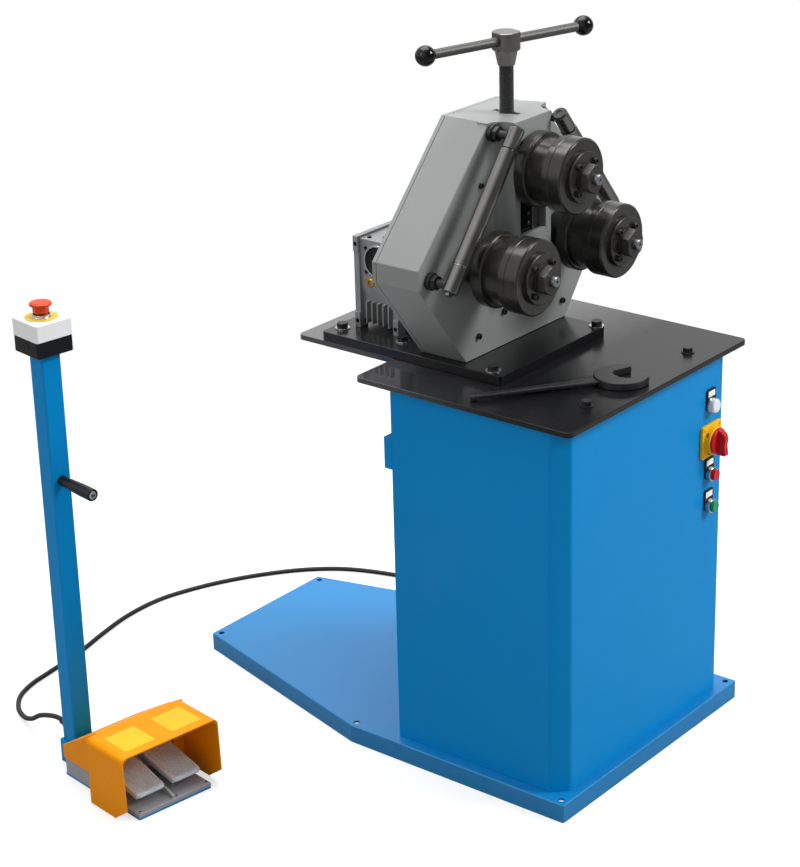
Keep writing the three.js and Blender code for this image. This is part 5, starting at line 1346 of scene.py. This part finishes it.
class RINGROLLER_OT_glands(bpy.types.Operator):
    """Cable glands on the post and the cabinet"""

    bl_idname = "ring_roller.glands"
    bl_label = "Cable glands"

    places = {
        "post_gland": PEDESTAL @ facing_rear(0, 20, 66),
        "cabinet_gland": facing_right(267, 120, 96),
        "mains_gland": facing_right(267, 40, 96),
    }

    def execute(self, context):
        for node, place in self.places.items():
            gland = Form(place)
            gland.turned([
                (5.3, 30), (7, 30), (7.6, 22), (9.4, 16), (10.4, 12), (10.4, 8), (12, 8), (12, 0),
                (10.7, 0), (10.7, -8), (5.3, -8),
            ], 0.5, 40, closed=True)
            gland.hexagon(24, 0, 8, bore=6, chamfer=1.2)
            gland.close(node + "_body", "black_plastic", node)
        return {"FINISHED"}


class RINGROLLER_OT_spanner(bpy.types.Operator):
    """Open-ended spanner on the table"""

    bl_idname = "ring_roller.spanner"
    bl_label = "Spanner"

    radius = 49
    nose = 37.4
    half_gap = 23
    steps = 56

    def execute(self, context):
        radius, nose, half = self.radius, self.nose, self.half_gap
        edge = math.acos(nose / radius)
        angles = [edge + (TURN - 2 * edge) * i / self.steps for i in range(self.steps + 1)]
        arc = [(radius * math.cos(angle), radius * math.sin(angle)) for angle in angles]
        jaw = [(nose, -half), (0, -half), (-11.3, -half / 2), (-11.3, half / 2), (0, half),
               (nose, half)]
        jaw = rounded(arc + jaw, [0] * len(arc) + [2.5, 3, 3, 3, 3, 2.5], 3)
        stem = [(-269, -7), (-150, -8.5), (-34, -14), (-34, 14), (-150, 8.5), (-269, 7)]
        form = Form(at(-30, -144, TABLE_TOP + 0.3) @ spun(-34.7))
        form.prism(jaw, 0, 14, 1.6, spun(12))
        form.prism(rounded(stem, 1, 2), 3, 11, 2.4)
        form.prism(circle(8.6, 40, -270, 0), 1.4, 12.4, 3)
        form.close("open_spanner", "dark_steel", "spanner", body="wrench")
        return {"FINISHED"}


class RINGROLLER_OT_inside(bpy.types.Operator):
    """Finishes for the frame's own parts that stay in view"""

    bl_idname = "ring_roller.inside"
    bl_label = "Parts inside"

    finishes = {
        "top_shaft": "turned_dark", "left_shaft": "turned_dark", "right_shaft": "turned_dark",
        "screw_nut": "bronze", "idler_gear": "gear_steel", "drive_pinion": "gear_steel",
        "control_gear": "cast_aluminium",
    }

    def execute(self, context):
        for name, node in frame["nodes"].items():
            if node.hide_render:
                continue
            if name not in self.finishes:
                raise RuntimeError(f"{name} shows without a finish")
            for part in node.material_slots:
                part.material = surfaces[self.finishes[name]]
        return {"FINISHED"}


PROPERTIES = {
    "ring_roller_paints": PaintColours,
    "ring_roller_metals": MetalColours,
    "ring_roller_rollers": RollerSizes,
    "ring_roller_screw": ScrewSizes,
    "ring_roller_stage": StageSettings,
}

OPERATORS = (
    RINGROLLER_OT_camera, RINGROLLER_OT_finishes, RINGROLLER_OT_cord, RINGROLLER_OT_stand,
    RINGROLLER_OT_table, RINGROLLER_OT_head, RINGROLLER_OT_rollers, RINGROLLER_OT_screw,
    RINGROLLER_OT_guides, RINGROLLER_OT_drive, RINGROLLER_OT_controls, RINGROLLER_OT_pedestal,
    RINGROLLER_OT_foot_switch, RINGROLLER_OT_glands, RINGROLLER_OT_spanner, RINGROLLER_OT_inside,
    RINGROLLER_OT_stage,
)


class RINGROLLER_PT_parts(bpy.types.Panel):
    """Lists the ring roller's groups of pieces"""

    bl_label = "Ring Roller"
    bl_idname = "RINGROLLER_PT_parts"
    bl_space_type = "VIEW_3D"
    bl_region_type = "UI"
    bl_category = "Ring Roller"

    def draw(self, context):
        for operator in OPERATORS:
            self.layout.operator(operator.bl_idname)


def register():
    for name, group in PROPERTIES.items():
        bpy.utils.register_class(group)
        setattr(bpy.types.Scene, name, bpy.props.PointerProperty(type=group))
    for operator in OPERATORS:
        bpy.utils.register_class(operator)
    bpy.utils.register_class(RINGROLLER_PT_parts)


def unregister():
    bpy.utils.unregister_class(RINGROLLER_PT_parts)
    for operator in reversed(OPERATORS):
        bpy.utils.unregister_class(operator)
    for name, group in reversed(PROPERTIES.items()):
        delattr(bpy.types.Scene, name)
        bpy.utils.unregister_class(group)


def main():
    register()
    for operator in OPERATORS:
        name = operator.bl_idname.split(".")[1]
        getattr(bpy.ops.ring_roller, name)()
    bpy.context.view_layer.update()


if __name__ == "__main__":
    main()
